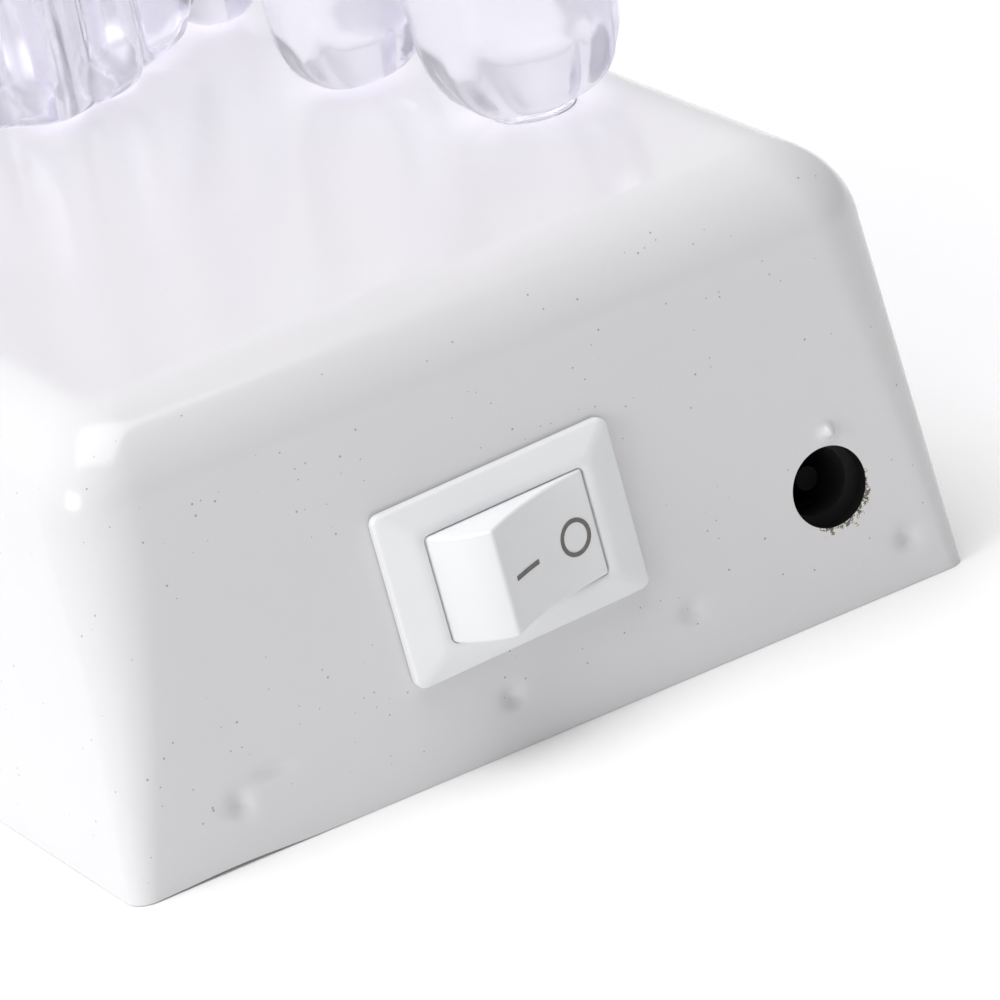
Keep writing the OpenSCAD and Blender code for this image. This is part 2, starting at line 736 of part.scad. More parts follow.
// Hair: a cap swept back from the brow and falling behind to the shoulders
module hair() {
    for (side = [-1, 1]) {
        hull() {
            translate([side * 1.6, 0.4, head_up + 2.8]) scale([1, 1.12, 1])
                sphere(r = head_h * 0.37, $fn = 18);
            translate([side * 2.6, 3.4, head_up - 3]) sphere(r = head_h * 0.26, $fn = 14);
        }
        hull() {
            translate([side * 3, 3.6, head_up - 4]) sphere(r = head_h * 0.24, $fn = 12);
            translate([side * 4.6, 4.2, neck_up - 2]) sphere(r = head_h * 0.17, $fn = 10);
        }
    }
}

module arm(side) {
    at_elbow = [side * elbow.x, elbow.y, elbow.z];
    at_wrist = [side * wrist.x, wrist.y, wrist.z];
    hull() {
        translate([side * shoulder.x, shoulder.y, shoulder.z]) sphere(r = 4.6, $fn = 12);
        translate(at_elbow) sphere(r = 4.1, $fn = 12);
    }
    hull() {
        translate(at_elbow) sphere(r = 4.1, $fn = 12);
        translate(at_wrist) sphere(r = 3.4, $fn = 12);
    }
    hull() {
        translate(at_wrist) sphere(r = 3.4, $fn = 12);
        translate([side * (wrist.x + 2), wrist.y + 1.5, wrist.z - 8]) sphere(r = 2.6, $fn = 10);
        translate(at_elbow + [0, -1, -3]) sphere(r = 3, $fn = 10);
    }
    hull() {
        translate([side * 2.2, wrist.y - 0.6, wrist.z + 1]) sphere(r = 2, $fn = 10);
        translate([side * hand_tip.x, hand_tip.y, hand_tip.z]) sphere(r = 1.1, $fn = 10);
        translate([side * 1.3, wrist.y - 2.6, wrist.z + 4]) sphere(r = 1.5, $fn = 10);
    }
}

// Back fold of the gown that comes down to its own foot
module train() {
    top = [0, 5, neck_up - 34];
    mid = [0, 9.5, 32];
    low = [train_foot.x, train_foot.y - 1, 12];
    foot = [train_foot.x, train_foot.y, train_foot_r + seat_gap];
    hull() {
        translate(top) sphere(r = 3, $fn = 10);
        translate(mid) sphere(r = 5, $fn = 12);
    }
    hull() {
        translate(mid) sphere(r = 5, $fn = 12);
        translate(low) sphere(r = 5, $fn = 12);
    }
    hull() {
        translate(low) sphere(r = 5, $fn = 12);
        translate(foot) sphere(r = train_foot_r, $fn = 16);
    }
}

module angel_figure() {
    color([0.9, 0.9, 0.98, 0.6]) translate([0, 0, base_h]) difference() {
        union() {
            translate([0, 0, seat_gap]) skin([for (h = figure_levels) figure_ring(h)]);
            translate([0, 0, -spigot_reach]) cylinder(h = spigot_reach + 3, r = gown_spigot_r, $fn = 48);
            translate([0, 0, head_up]) skin([for (i = [0 : head_rows - 1]) head_ring(i)]);
            hair();
            arm(-1);
            arm(1);
            train();
            for (side = [-1, 1]) translate([side * wing_root.x, wing_seat_y - 4, wing_root.z])
                scale([0.8, 1, 1.5]) sphere(r = 5.5, $fn = 14);
        }
        translate([0, wing_seat_y, wing_root.z]) wing_seat_block(1);
        for (side = [-1, 1], up = dowel_ups) dowel_hole(side, up);
    }
}

// Block on one side of the plane where the wing roots meet the back
module wing_seat_block(way) {
    translate([-16, way > 0 ? 0 : -10, -12]) cube([32, 10, 24]);
}

// Wings: five drop-shaped feathers below a rounded arch

dowel_ups = [neck_up - 17, neck_up - 12];
dowel_l = 7;
wing_seat_y = 8.6;
wing_root = [5, wing_seat_y + 2.6, neck_up - 14];
feather_sides = 12;
feather_steps = 7;
arch_r = 5;
arch_points = [wing_root - [0, 0, 4], wing_root + [3, 0.5, 4],
    [16, 13, 106], [31, 15.5, 117], [47, 18.5, 118], [60, 21.5, 106]];
// Each long feather: root, bend, centre of its round tip, radius of the tip
long_feathers = [
    [[10, 12.5, 96], [17, 15, 60], [inner_foot.x, inner_foot.y, inner_foot_r + seat_gap], inner_foot_r],
    [[19, 14, 106], [38, 18, 70], [wing_foot.x, wing_foot.y, wing_foot_r + seat_gap], wing_foot_r],
    [[31, 16, 114], [54, 20.5, 82], [57, 24, 30], 7.6],
    [[43, 18, 116], [62, 22, 96], [64.5, 24.5, 52], 6.8],
    [[54, 20.5, 110], [66, 23, 100], [69, 25, 75], 6]];
// The short feathers that cover their roots
short_feathers = [
    [[12, 12.5, 99], [16, 13.5, 84], [19, 15, 73], 4.6],
    [[24, 15, 111], [33, 17, 92], [35, 18.5, 77], 5],
    [[37, 17, 117], [48, 19.5, 100], [50, 21, 84], 4.8],
    [[50, 19.5, 115], [59, 21.5, 105], [61, 23, 94], 4.2]];

module dowel_hole(side, up) {
    dowel_rod(side, up, dowel_r + hole_gap / 2, dowel_l + 0.4);
}

module dowel_rod(side, up, r, l) {
    translate([side * wing_root.x, wing_seat_y, up]) rotate([-90, 0, 0])
        translate([0, 0, -l / 2]) cylinder(h = l, r = r, $fn = 32);
}

function bend(a, b, c, t) = mix(mix(a, b, t), mix(b, c, t), t);

module feather(f, root_thick) {
    root_share = 0.6;
    swell = 0.42;
    path = [for (i = [0 : feather_steps]) bend(f[0], f[1], f[2], i / feather_steps)];
    along = heading(path, feather_steps);
    body = [for (i = [0 : feather_steps]) let (t = i / feather_steps,
        wide = f[3] * mix(root_share, 1, sin(90 * t)) * (1 + swell * sin(180 * t)))
        oval_ring(path[i], heading(path, i), [0, 1, 0],
            wide, f[3] * mix(root_thick, 1, t * t * t), feather_sides)];
    tip = [for (a = [20, 40, 60, 78])
        oval_ring(f[2] + along * f[3] * sin(a), along, [0, 1, 0],
            f[3] * cos(a), f[3] * cos(a), feather_sides)];
    skin(concat(body, tip));
}

module wing_arch() {
    path = smooth_path(arch_points, 4);
    last = len(path) - 1;
    skin([for (i = [0 : last]) let (r = arch_r * mix(1, 0.75, i / last) * (i == 0 || i == last ? 0.5 : 1))
        oval_ring(path[i], heading(path, i), [0, 1, 0], r, r * 0.9, feather_sides)]);
}

module wing(side) {
    color([0.88, 0.88, 0.98, 0.6]) translate([0, 0, base_h]) mirror([side < 0 ? 1 : 0, 0, 0]) difference() {
        union() {
            for (f = long_feathers) feather(f, 0.5);
            for (f = short_feathers) feather(f, 1);
            wing_arch();
            translate([wing_foot.x, wing_foot.y, -spigot_reach])
                cylinder(h = spigot_reach + wing_foot_r, r = wing_spigot_r, $fn = 32);
        }
        translate([0, wing_seat_y + seat_gap, wing_root.z]) wing_seat_block(-1);
        for (up = dowel_ups) dowel_hole(1, up);
    }
}

module left_wing() {
    wing(-1);
}

module right_wing() {
    wing(1);
}

module wing_dowels() {
    color("silver") translate([0, 0, base_h])
        for (side = [-1, 1], up = dowel_ups) dowel_rod(side, up, dowel_r, dowel_l);
}

// Toothless push-on washers round the spigots, under the base top
module retainer(r) {
    translate([0, 0, ceiling_z - seat_gap - retainer_t]) difference() {
        cylinder(h = retainer_t, r = r + retainer_rim, $fn = 48);
        translate([0, 0, -1]) cylinder(h = retainer_t + 2, r = r + seat_gap, $fn = 48);
    }
}

module gown_retainer() {
    color("silver") retainer(gown_spigot_r);
}

module wing_retainers() {
    color("silver") for (side = [-1, 1])
        translate([side * wing_foot.x, wing_foot.y, 0]) retainer(wing_spigot_r);
}

base_shell();
bottom_plate();
bottom_pad();
plate_posts();
plate_screws();
switch_housing();
switch_rocker();
switch_plunger();
switch_spring();
contact_lever();
common_terminal();
load_terminal();
socket_body();
socket_pin();
socket_contact();
socket_nut();
socket_bracket();
led_board();
led_emitters();
led_resistors();
board_standoffs();
board_screws();
supply_wire();
switched_wire();
return_wire();
angel_figure();
left_wing();
right_wing();
wing_dowels();
gown_retainer();
wing_retainers();
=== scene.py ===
import math
import bpy
import numpy as np
from mathutils import Matrix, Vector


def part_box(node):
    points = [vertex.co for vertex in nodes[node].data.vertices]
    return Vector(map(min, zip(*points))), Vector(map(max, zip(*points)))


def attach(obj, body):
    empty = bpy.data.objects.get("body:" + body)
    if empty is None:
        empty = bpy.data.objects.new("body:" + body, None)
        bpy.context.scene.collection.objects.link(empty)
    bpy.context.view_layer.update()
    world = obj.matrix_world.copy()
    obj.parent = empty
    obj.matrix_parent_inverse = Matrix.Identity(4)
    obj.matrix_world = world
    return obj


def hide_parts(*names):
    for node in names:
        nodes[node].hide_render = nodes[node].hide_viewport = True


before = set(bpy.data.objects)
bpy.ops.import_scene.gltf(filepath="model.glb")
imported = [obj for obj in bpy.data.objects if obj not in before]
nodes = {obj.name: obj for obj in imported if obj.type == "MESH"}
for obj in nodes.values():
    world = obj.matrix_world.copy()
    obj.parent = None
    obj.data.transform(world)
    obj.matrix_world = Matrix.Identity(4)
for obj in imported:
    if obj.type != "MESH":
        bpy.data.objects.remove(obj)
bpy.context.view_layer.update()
mm = 0.001


# Camera: azimuth, elevation and roll in degrees, target and distance in millimetres
cameraView = dict(azimuth=64.9675, elevation=22.031, roll=-12.1528, lens=271.34,
                  target=(-107.1486, 84.4222, -62.2949), distance=800.0046)


def placeCamera(view):
    az, el, roll = np.radians([view["azimuth"], view["elevation"], view["roll"]])
    back = np.array([np.sin(az) * np.cos(el), -np.cos(az) * np.cos(el), np.sin(el)])
    level = np.cross([0.0, 0.0, 1.0], back)
    level = level / np.linalg.norm(level)
    upright = np.cross(back, level)
    right = np.cos(roll) * level + np.sin(roll) * upright
    up = np.cos(roll) * upright - np.sin(roll) * level
    eye = (np.array(view["target"]) + view["distance"] * back) * mm
    data = bpy.data.cameras.new("photoCamera")
    data.lens = view["lens"]
    data.sensor_width = 36
    data.clip_start = 0.01
    camera = bpy.data.objects.new("photoCamera", data)
    pose = np.eye(4)
    pose[:3, :4] = np.stack([right, up, back, eye], axis=1)
    camera.matrix_world = Matrix(pose.tolist())
    bpy.context.collection.objects.link(camera)
    bpy.context.scene.camera = camera


placeCamera(cameraView)
print("camera placed")


# Mesh helpers: a part is (points in millimetres, quads, caps)

def gridQuads(rows, cols, closed):  # quads between neighbouring rows, last column joined to the first if closed
    across = cols if closed else cols - 1
    r, c = np.meshgrid(np.arange(rows - 1), np.arange(across), indexing="ij")
    d = (c + 1) % cols
    corners = [r * cols + c, r * cols + d, (r + 1) * cols + d, (r + 1) * cols + c]
    return np.stack(corners, axis=-1).reshape(-1, 4)


def tubePart(rings):  # rings of equal count joined to one closed skin, with a face over each end
    rows, cols = rings.shape[:2]
    first = np.arange(cols)[::-1]
    last = np.arange((rows - 1) * cols, rows * cols)
    return rings.reshape(-1, 3), gridQuads(rows, cols, True), [first, last]


def sheetPart(grid):  # open sheet over a grid of points
    rows, cols = grid.shape[:2]
    return grid.reshape(-1, 3), gridQuads(rows, cols, False), []


def mirrorPart(part):  # the other side of the figure: X turned over, faces turned back
    points, quads, caps = part
    return points * [-1, 1, 1], quads[:, ::-1], [cap[::-1] for cap in caps]


def makeObject(name, parts):
    starts = np.cumsum([0] + [len(part[0]) for part in parts[:-1]])
    points = np.concatenate([part[0] for part in parts]) * mm
    quads = np.concatenate([part[1] + start for part, start in zip(parts, starts)])
    caps = [(cap + start).tolist() for part, start in zip(parts, starts) for cap in part[2]]
    mesh = bpy.data.meshes.new(name)
    mesh.from_pydata(points.tolist(), [], quads.tolist() + caps)
    obj = bpy.data.objects.new(name, mesh)
    bpy.context.collection.objects.link(obj)
    return obj


def applyModifiers(obj):  # the finished mesh takes the place of the stack
    shown = obj.evaluated_get(bpy.context.evaluated_depsgraph_get())
    mesh = bpy.data.meshes.new_from_object(shown)
    old = obj.data
    obj.modifiers.clear()
    obj.data = mesh
    bpy.data.meshes.remove(old)
    mesh.name = obj.name


def addModifier(obj, kind, **values):
    modifier = obj.modifiers.new(kind.lower(), kind)
    for key, value in values.items():
        setattr(modifier, key, value)
    return modifier


def boolean(obj, operation, tools):  # one cut or join for each tool, the tools are used up
    for tool in tools:
        addModifier(obj, "BOOLEAN", operation=operation, object=tool, solver="EXACT",
                    material_mode="TRANSFER")
    applyModifiers(obj)
    for tool in tools:
        mesh = tool.data
        bpy.data.objects.remove(tool)
        bpy.data.meshes.remove(mesh)


def smoothShade(obj, degrees):
    mesh = obj.data
    mesh.polygons.foreach_set("use_smooth", np.ones(len(mesh.polygons), dtype=bool))
    mesh.set_sharp_from_angle(angle=math.radians(degrees))
    mesh.update()


def handIn(obj, body, slot, *replaced):  # rides on its body and stands for the CAD nodes
    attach(obj, body)
    if replaced:
        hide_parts(*replaced)
    return obj


def roundRect(length, height, radius, perCorner):  # points round a rectangle with round corners
    turn = np.linspace(0, 90, perCorner)
    angle = np.radians(np.concatenate([turn, turn + 90, turn + 180, turn + 270]))
    signs = np.repeat([[1, 1], [-1, 1], [-1, -1], [1, -1]], perCorner, axis=0)
    core = signs * [length / 2 - radius, height / 2 - radius]
    return core + radius * np.stack([np.cos(angle), np.sin(angle)], axis=1)


def through(at, keys, values):  # cubic through the values at the keys, slopes taken from their neighbours
    keys = np.asarray(keys, float)
    values = np.asarray(values, float)
    slopes = np.gradient(values, keys, axis=0)
    k = np.clip(np.searchsorted(keys, at, side="right") - 1, 0, len(keys) - 2)
    span = keys[k + 1] - keys[k]
    s = (at - keys[k]) / span
    if values.ndim == 2:
        s = s[:, None]
        span = span[:, None]
    return ((2 * s**3 - 3 * s**2 + 1) * values[k] + (s**3 - 2 * s**2 + s) * span * slopes[k]
            + (3 * s**2 - 2 * s**3) * values[k + 1] + (s**3 - s**2) * span * slopes[k + 1])


def around(count):  # even angles for one turn, the last one short of the first
    return np.linspace(0, 2 * np.pi, count, endpoint=False)


def unit(v):
    return v / np.linalg.norm(v, axis=-1, keepdims=True)


def hump(value, middle, width):  # bell of height one
    return np.exp(-((value - middle) / width) ** 2)


def ovalTube(path, wide, thick, cols, flat=(0, 1, 0)):  # ovals square to the path, thick near the flat axis
    heading = unit(np.gradient(path, axis=0))
    side = unit(np.cross(np.broadcast_to(flat, path.shape), heading))
    over = np.cross(heading, side)
    angle = around(cols)[None, :]
    across = np.asarray(wide).reshape(len(path), -1) * np.cos(angle)
    out = np.asarray(thick).reshape(len(path), -1) * np.sin(angle)
    return path[:, None, :] + side[:, None, :] * across[..., None] + over[:, None, :] * out[..., None]


# Finishes: effects that several share are node groups

def makeGroup(name, inputs, outputs):
    group = bpy.data.node_groups.new(name, "ShaderNodeTree")
    for label, value in inputs.items():
        socket = group.interface.new_socket(label, in_out="INPUT", socket_type="NodeSocketFloat")
        socket.default_value = value
    for label in outputs:
        group.interface.new_socket(label, in_out="OUTPUT", socket_type="NodeSocketFloat")
    return group, group.nodes.new("NodeGroupInput"), group.nodes.new("NodeGroupOutput")


def addNode(tree, kind, settings=None, **sockets):
    node = tree.nodes.new(kind)
    for key, value in (settings or {}).items():
        setattr(node, key, value)
    for key, value in sockets.items():
        node.inputs[key].default_value = value
    return node


def mathNode(tree, operation, a, b):  # a and b are numbers or sockets
    node = addNode(tree, "ShaderNodeMath", {"operation": operation})
    for socket, value in zip(node.inputs, (a, b)):
        if isinstance(value, (int, float)):
            socket.default_value = value
        else:
            tree.links.new(value, socket)
    return node.outputs[0]


def castGrainGroup():  # broad clouding with a fine grain on it, both from zero to one
    group, given, made = makeGroup("castGrain", {"Scale": 300.0, "Fine": 6.0}, ["Cloud", "Grain"])
    where = addNode(group, "ShaderNodeTexCoord")
    cloud = addNode(group, "ShaderNodeTexNoise", Detail=4.0, Roughness=0.55)
    grain = addNode(group, "ShaderNodeTexNoise", Detail=2.0, Roughness=0.6)
    finer = mathNode(group, "MULTIPLY", given.outputs["Scale"], given.outputs["Fine"])
    group.links.new(where.outputs["Object"], cloud.inputs["Vector"])
    group.links.new(where.outputs["Object"], grain.inputs["Vector"])
    group.links.new(given.outputs["Scale"], cloud.inputs["Scale"])
    group.links.new(finer, grain.inputs["Scale"])
    group.links.new(cloud.outputs["Fac"], made.inputs["Cloud"])
    group.links.new(grain.outputs["Fac"], made.inputs["Grain"])
    return group


def specksGroup():  # small round specks in some of the cells of a scattered grid, up to a height in metres
    inputs = {"Scale": 90.0, "Size": 0.08, "Share": 0.1, "Below": 1.0}
    group, given, made = makeGroup("specks", inputs, ["Mask"])
    where = addNode(group, "ShaderNodeTexCoord")
    cells = addNode(group, "ShaderNodeTexVoronoi")
    split = addNode(group, "ShaderNodeSeparateColor")
    group.links.new(where.outputs["Object"], cells.inputs["Vector"])
    group.links.new(given.outputs["Scale"], cells.inputs["Scale"])
    group.links.new(cells.outputs["Color"], split.inputs["Color"])
    picked = mathNode(group, "LESS_THAN", split.outputs[0], given.outputs["Share"])
    size = mathNode(group, "MULTIPLY", given.outputs["Size"], split.outputs[1])
    near = mathNode(group, "LESS_THAN", cells.outputs["Distance"], size)
    place = addNode(group, "ShaderNodeSeparateXYZ")
    group.links.new(where.outputs["Object"], place.inputs[0])
    low = mathNode(group, "LESS_THAN", place.outputs["Z"], given.outputs["Below"])
    mask = mathNode(group, "MULTIPLY", mathNode(group, "MULTIPLY", near, picked), low)
    group.links.new(mask, made.inputs["Mask"])
    return group


def streaksGroup():  # long thin streaks along one axis of the piece, from zero to one
    group, given, made = makeGroup("streaks", {"Scale": 400.0}, ["Streak"])
    where = addNode(group, "ShaderNodeTexCoord")
    turn = addNode(group, "ShaderNodeMapping", Scale=(0.06, 1.0, 1.0))
    noise = addNode(group, "ShaderNodeTexNoise", Detail=3.0, Roughness=0.7)
    group.links.new(where.outputs["Object"], turn.inputs["Vector"])
    group.links.new(turn.outputs["Vector"], noise.inputs["Vector"])
    group.links.new(given.outputs["Scale"], noise.inputs["Scale"])
    group.links.new(noise.outputs["Fac"], made.inputs["Streak"])
    return group


castGrain = castGrainGroup()
specks = specksGroup()
streaks = streaksGroup()


def placeGroup(tree, group, **values):
    node = addNode(tree, "ShaderNodeGroup", {"node_tree": group})
    for key, value in values.items():
        node.inputs[key].default_value = value
    return node


def blendColours(tree, factor, first, second):  # each is a colour or a socket
    node = addNode(tree, "ShaderNodeMix", {"data_type": "RGBA"})
    tree.links.new(factor, node.inputs[0])
    for socket, value in ((node.inputs[6], first), (node.inputs[7], second)):
        if isinstance(value, tuple):
            socket.default_value = (*value, 1.0)
        else:
            tree.links.new(value, socket)
    return node.outputs[2]


def rangeNode(tree, value, low, high, start=0.0, stop=1.0):  # start to stop spread between two numbers
    node = addNode(tree, "ShaderNodeMapRange", {"clamp": True})
    node.inputs["From Min"].default_value = start
    node.inputs["From Max"].default_value = stop
    node.inputs["To Min"].default_value = low
    node.inputs["To Max"].default_value = high
    tree.links.new(value, node.inputs["Value"])
    return node.outputs["Result"]


def makeFinish(name, light, dark, rough, metal=0.0, scale=300.0, fine=6.0, bump=0.1, depth=0.00005,
               streak=0.0, speck=None, **shader):
    material = bpy.data.materials.new(name)
    material.use_nodes = True
    tree = material.node_tree
    surface = tree.nodes["Principled BSDF"]
    grain = placeGroup(tree, castGrain, Scale=scale, Fine=fine)
    pattern = grain.outputs["Cloud"]
    height = grain.outputs["Grain"]
    if streak:
        lines = placeGroup(tree, streaks, Scale=streak)
        pattern = lines.outputs["Streak"]
        height = lines.outputs["Streak"]
    colour = blendColours(tree, pattern, light, dark)
    if speck:
        spots = placeGroup(tree, specks, Scale=speck["scale"], Size=speck["size"], Share=speck["share"],
                           Below=speck["below"])
        colour = blendColours(tree, spots.outputs["Mask"], colour, speck["colour"])
    tree.links.new(colour, surface.inputs["Base Color"])
    tree.links.new(rangeNode(tree, pattern, rough[0], rough[1]), surface.inputs["Roughness"])
    surface.inputs["Metallic"].default_value = metal
    for key, value in shader.items():
        surface.inputs[key.replace("_", " ")].default_value = value
    relief = addNode(tree, "ShaderNodeBump", Strength=bump, Distance=depth)
    tree.links.new(height, relief.inputs["Height"])
    tree.links.new(relief.outputs["Normal"], surface.inputs["Normal"])
    return material


whitePaint = makeFinish(
    "whitePaint", (0.733, 0.724, 0.738), (0.702, 0.692, 0.707), (0.15, 0.23), scale=40.0, fine=22.0, bump=0.05,
    depth=0.00012, speck=dict(scale=1100.0, size=0.12, share=0.55, below=0.035, colour=(0.4, 0.39, 0.385)))
# painted shade: the shell's inside and the cut walls of the plug hole and switch opening are near-black for the
# dark inside of the box
paintedShadeInside = makeFinish("paintedShadeInside", (0.006, 0.006, 0.006), (0.009, 0.009, 0.009), (0.6, 0.8), scale=200.0,
                        bump=0.2, Specular_IOR_Level=0.1)
switchWhite = makeFinish("switchWhite", (0.855, 0.865, 0.88), (0.825, 0.835, 0.85), (0.4, 0.5), scale=160.0,
                         fine=40.0, bump=0.06, depth=0.00003)
rockerWhite = makeFinish("rockerWhite", (0.855, 0.862, 0.875), (0.825, 0.832, 0.845), (0.34, 0.44), scale=180.0,
                         fine=40.0, bump=0.05, depth=0.00003)
spigotWhite = makeFinish("spigotWhite", (0.8, 0.8, 0.82), (0.74, 0.74, 0.77), (0.5, 0.6), scale=200.0)
markInk = makeFinish("markInk", (0.09, 0.084, 0.08), (0.24, 0.225, 0.215), (0.5, 0.65), scale=2600.0)
clearCast = makeFinish("clearCast", (0.885, 0.87, 0.935), (0.83, 0.815, 0.915), (0.08, 0.24), scale=70.0,
                       fine=2.0, bump=0.3, depth=0.0005, Transmission_Weight=0.86, IOR=1.45)
clearPin = makeFinish("clearPin", (0.97, 0.97, 0.985), (0.95, 0.95, 0.975), (0.02, 0.06), scale=120.0,
                      bump=0.03, Transmission_Weight=1.0, IOR=1.49)
# black foam of the pad, whose near-black also stands in for the shade line under the rim
padFoamAndShade = makeFinish(
    "padFoamAndShade", (0.035, 0.035, 0.037), (0.07, 0.07, 0.073), (0.8, 0.95), scale=700.0, fine=4.0, bump=0.6,
    depth=0.0002, speck=dict(scale=900.0, size=0.35, share=0.4, below=1.0, colour=(0.015, 0.015, 0.015)))
plateSteel = makeFinish("plateSteel", (0.52, 0.52, 0.53), (0.42, 0.42, 0.43), (0.28, 0.42), metal=1.0,
                        streak=900.0, bump=0.05)
brightZinc = makeFinish("brightZinc", (0.72, 0.72, 0.71), (0.6, 0.6, 0.6), (0.22, 0.36), metal=1.0,
                        scale=500.0, bump=0.05)
# painted shade: the socket pin and its contact spring are near-black and barely reflect, standing for the shade
# inside the plug hole in place of their bright metal
socketPaintedShade = makeFinish("socketPaintedShade", (0.006, 0.006, 0.006), (0.003, 0.003, 0.003), (0.5, 0.6), scale=600.0,
                          Specular_IOR_Level=0.1)
springSteel = makeFinish("springSteel", (0.6, 0.6, 0.61), (0.48, 0.48, 0.5), (0.2, 0.35), metal=1.0,
                         scale=900.0)
contactBrass = makeFinish("contactBrass", (0.72, 0.55, 0.28), (0.6, 0.44, 0.2), (0.2, 0.38), metal=1.0,
                          streak=1200.0, bump=0.06)
socketBlack = makeFinish("socketBlack", (0.042, 0.041, 0.042), (0.048, 0.047, 0.048), (0.5, 0.65), scale=400.0,
                         Specular_IOR_Level=0.0)
boardWhite = makeFinish("boardWhite", (0.78, 0.79, 0.78), (0.73, 0.74, 0.73), (0.3, 0.45), scale=120.0,
                        fine=12.0, bump=0.05)
emitterLens = makeFinish("emitterLens", (0.86, 0.8, 0.42), (0.82, 0.74, 0.34), (0.3, 0.4), scale=900.0)
chipBlack = makeFinish("chipBlack", (0.025, 0.025, 0.027), (0.04, 0.04, 0.042), (0.45, 0.6), scale=900.0)
wireRed = makeFinish("wireRed", (0.42, 0.02, 0.02), (0.36, 0.015, 0.015), (0.4, 0.52), scale=500.0)
wireBlack = makeFinish("wireBlack", (0.015, 0.015, 0.016), (0.025, 0.025, 0.026), (0.42, 0.55), scale=500.0)


def passLight(material, tint):  # a clear piece lets most of the light through to what stands behind it
    tree = material.node_tree
    path = addNode(tree, "ShaderNodeLightPath")
    clear = addNode(tree, "ShaderNodeBsdfTransparent", Color=(*tint, 1.0))
    either = addNode(tree, "ShaderNodeMixShader")
    tree.links.new(path.outputs["Is Shadow Ray"], either.inputs[0])
    tree.links.new(tree.nodes["Principled BSDF"].outputs["BSDF"], either.inputs[1])
    tree.links.new(clear.outputs["BSDF"], either.inputs[2])
    tree.links.new(either.outputs["Shader"], tree.nodes["Material Output"].inputs["Surface"])


for clearFinish in (clearCast, clearPin):
    passLight(clearFinish, (0.93, 0.925, 0.95))
print("finishes made")


# Base shell: outline with round corners carried up the draft, over the edge and across the top
shell = dict(length=156.0, width=78.0, height=37.0, wall=1.2, rim=0.04, rimWave=(-30.0, 5.5, 0.26),
             endDraft=3.0, frontFoot=7.0, backFoot=1.0, sideUpper=1.0, kneeUp=16.5, kneeSoft=2.2, fillet=7.6,
             corner=6.3, footCorner=1.8, plugSide=26.5, plugUp=10.5, plugRadius=3.35, switchSide=-2.0,
             switchUp=15.85, switchTurn=2.2, cutLength=19.5, cutHeight=12.9, cutIn=-4, cutOut=3)
spigots = dict(gownRadius=6.8, wingRadius=3.5, wingFoot=(45.4, 23.5), long=6.0, play=0.06)
# Small flaws pressed into the switch wall: along the wall, up it, along radius, up radius, depth outwards
wallFlaws = [(-28.7, 4.9, 0.95, 1.0, -0.5), (-25.6, 6.5, 1.6, 0.6, -0.26), (-4.4, 4.4, 0.9, 0.9, -0.4),
             (12.3, 5.2, 1.0, 0.9, -0.4), (32.3, 3.9, 0.95, 0.9, -0.5), (27.35, 14.92, 0.55, 0.5, 0.85)]


def onWall(points, side, up):  # wall frame (out, along, up) to the lamp's frame
    draft = math.radians(shell["endDraft"])
    out, along, high = points[..., 0], points[..., 1] + side, points[..., 2] + up
    return np.stack([shell["length"] / 2 + out * math.cos(draft) - high * math.sin(draft), along,
                     out * math.sin(draft) + high * math.cos(draft)], axis=-1)


def onSwitch(points):  # switch frame, turned a little in the wall, to the lamp's frame
    turn = math.radians(shell["switchTurn"])
    along = points[..., 1] * math.cos(turn) - points[..., 2] * math.sin(turn)
    high = points[..., 1] * math.sin(turn) + points[..., 2] * math.cos(turn)
    return onWall(np.stack([points[..., 0], along, high], axis=-1), shell["switchSide"], shell["switchUp"])


def withFlaws(even, places, reaches):  # even steps, with finer ones over the flaws
    fine = [place + reach * np.linspace(-1.8, 1.8, 13) for place, reach in zip(places, reaches)]
    steps = np.unique(np.round(np.concatenate([even] + fine), 1))
    inside = (steps > even[0] + 0.1) & (steps < even[-1] - 0.1)
    return np.concatenate([even[:1], steps[inside], even[-1:]])


def shellOutline(endRun):  # for each column: shares of the half length and width, and the outward direction
    quarter = np.radians(np.linspace(0, 90, 15))[1:-1]
    sideRun = np.linspace(-1, 1, 44)
    walls = []
    for k, run in enumerate([endRun, sideRun, np.linspace(-1, 1, 30), sideRun]):
        turn = k * np.pi / 2
        straight = np.stack([np.ones(len(run)), run], axis=1)
        local = np.concatenate([straight, np.ones((len(quarter), 2))])
        angle = np.concatenate([np.full(len(run), turn), turn + quarter])
        c, s = round(math.cos(turn)), round(math.sin(turn))
        turned = np.stack([local[:, 0] * c - local[:, 1] * s, local[:, 0] * s + local[:, 1] * c], axis=1)
        walls.append(np.column_stack([turned, np.cos(angle), np.sin(angle)]))
    return np.concatenate(walls)


def slope(degrees):
    return math.tan(math.radians(degrees))


def liftRim(obj, low):  # the inner edge of a leaning wall hangs lower than the outer one, so it is raised
    points = np.zeros(3 * len(obj.data.vertices))
    obj.data.vertices.foreach_get("co", points)
    points[2::3] = np.maximum(points[2::3], low)
    obj.data.vertices.foreach_set("co", points)
    obj.data.update()


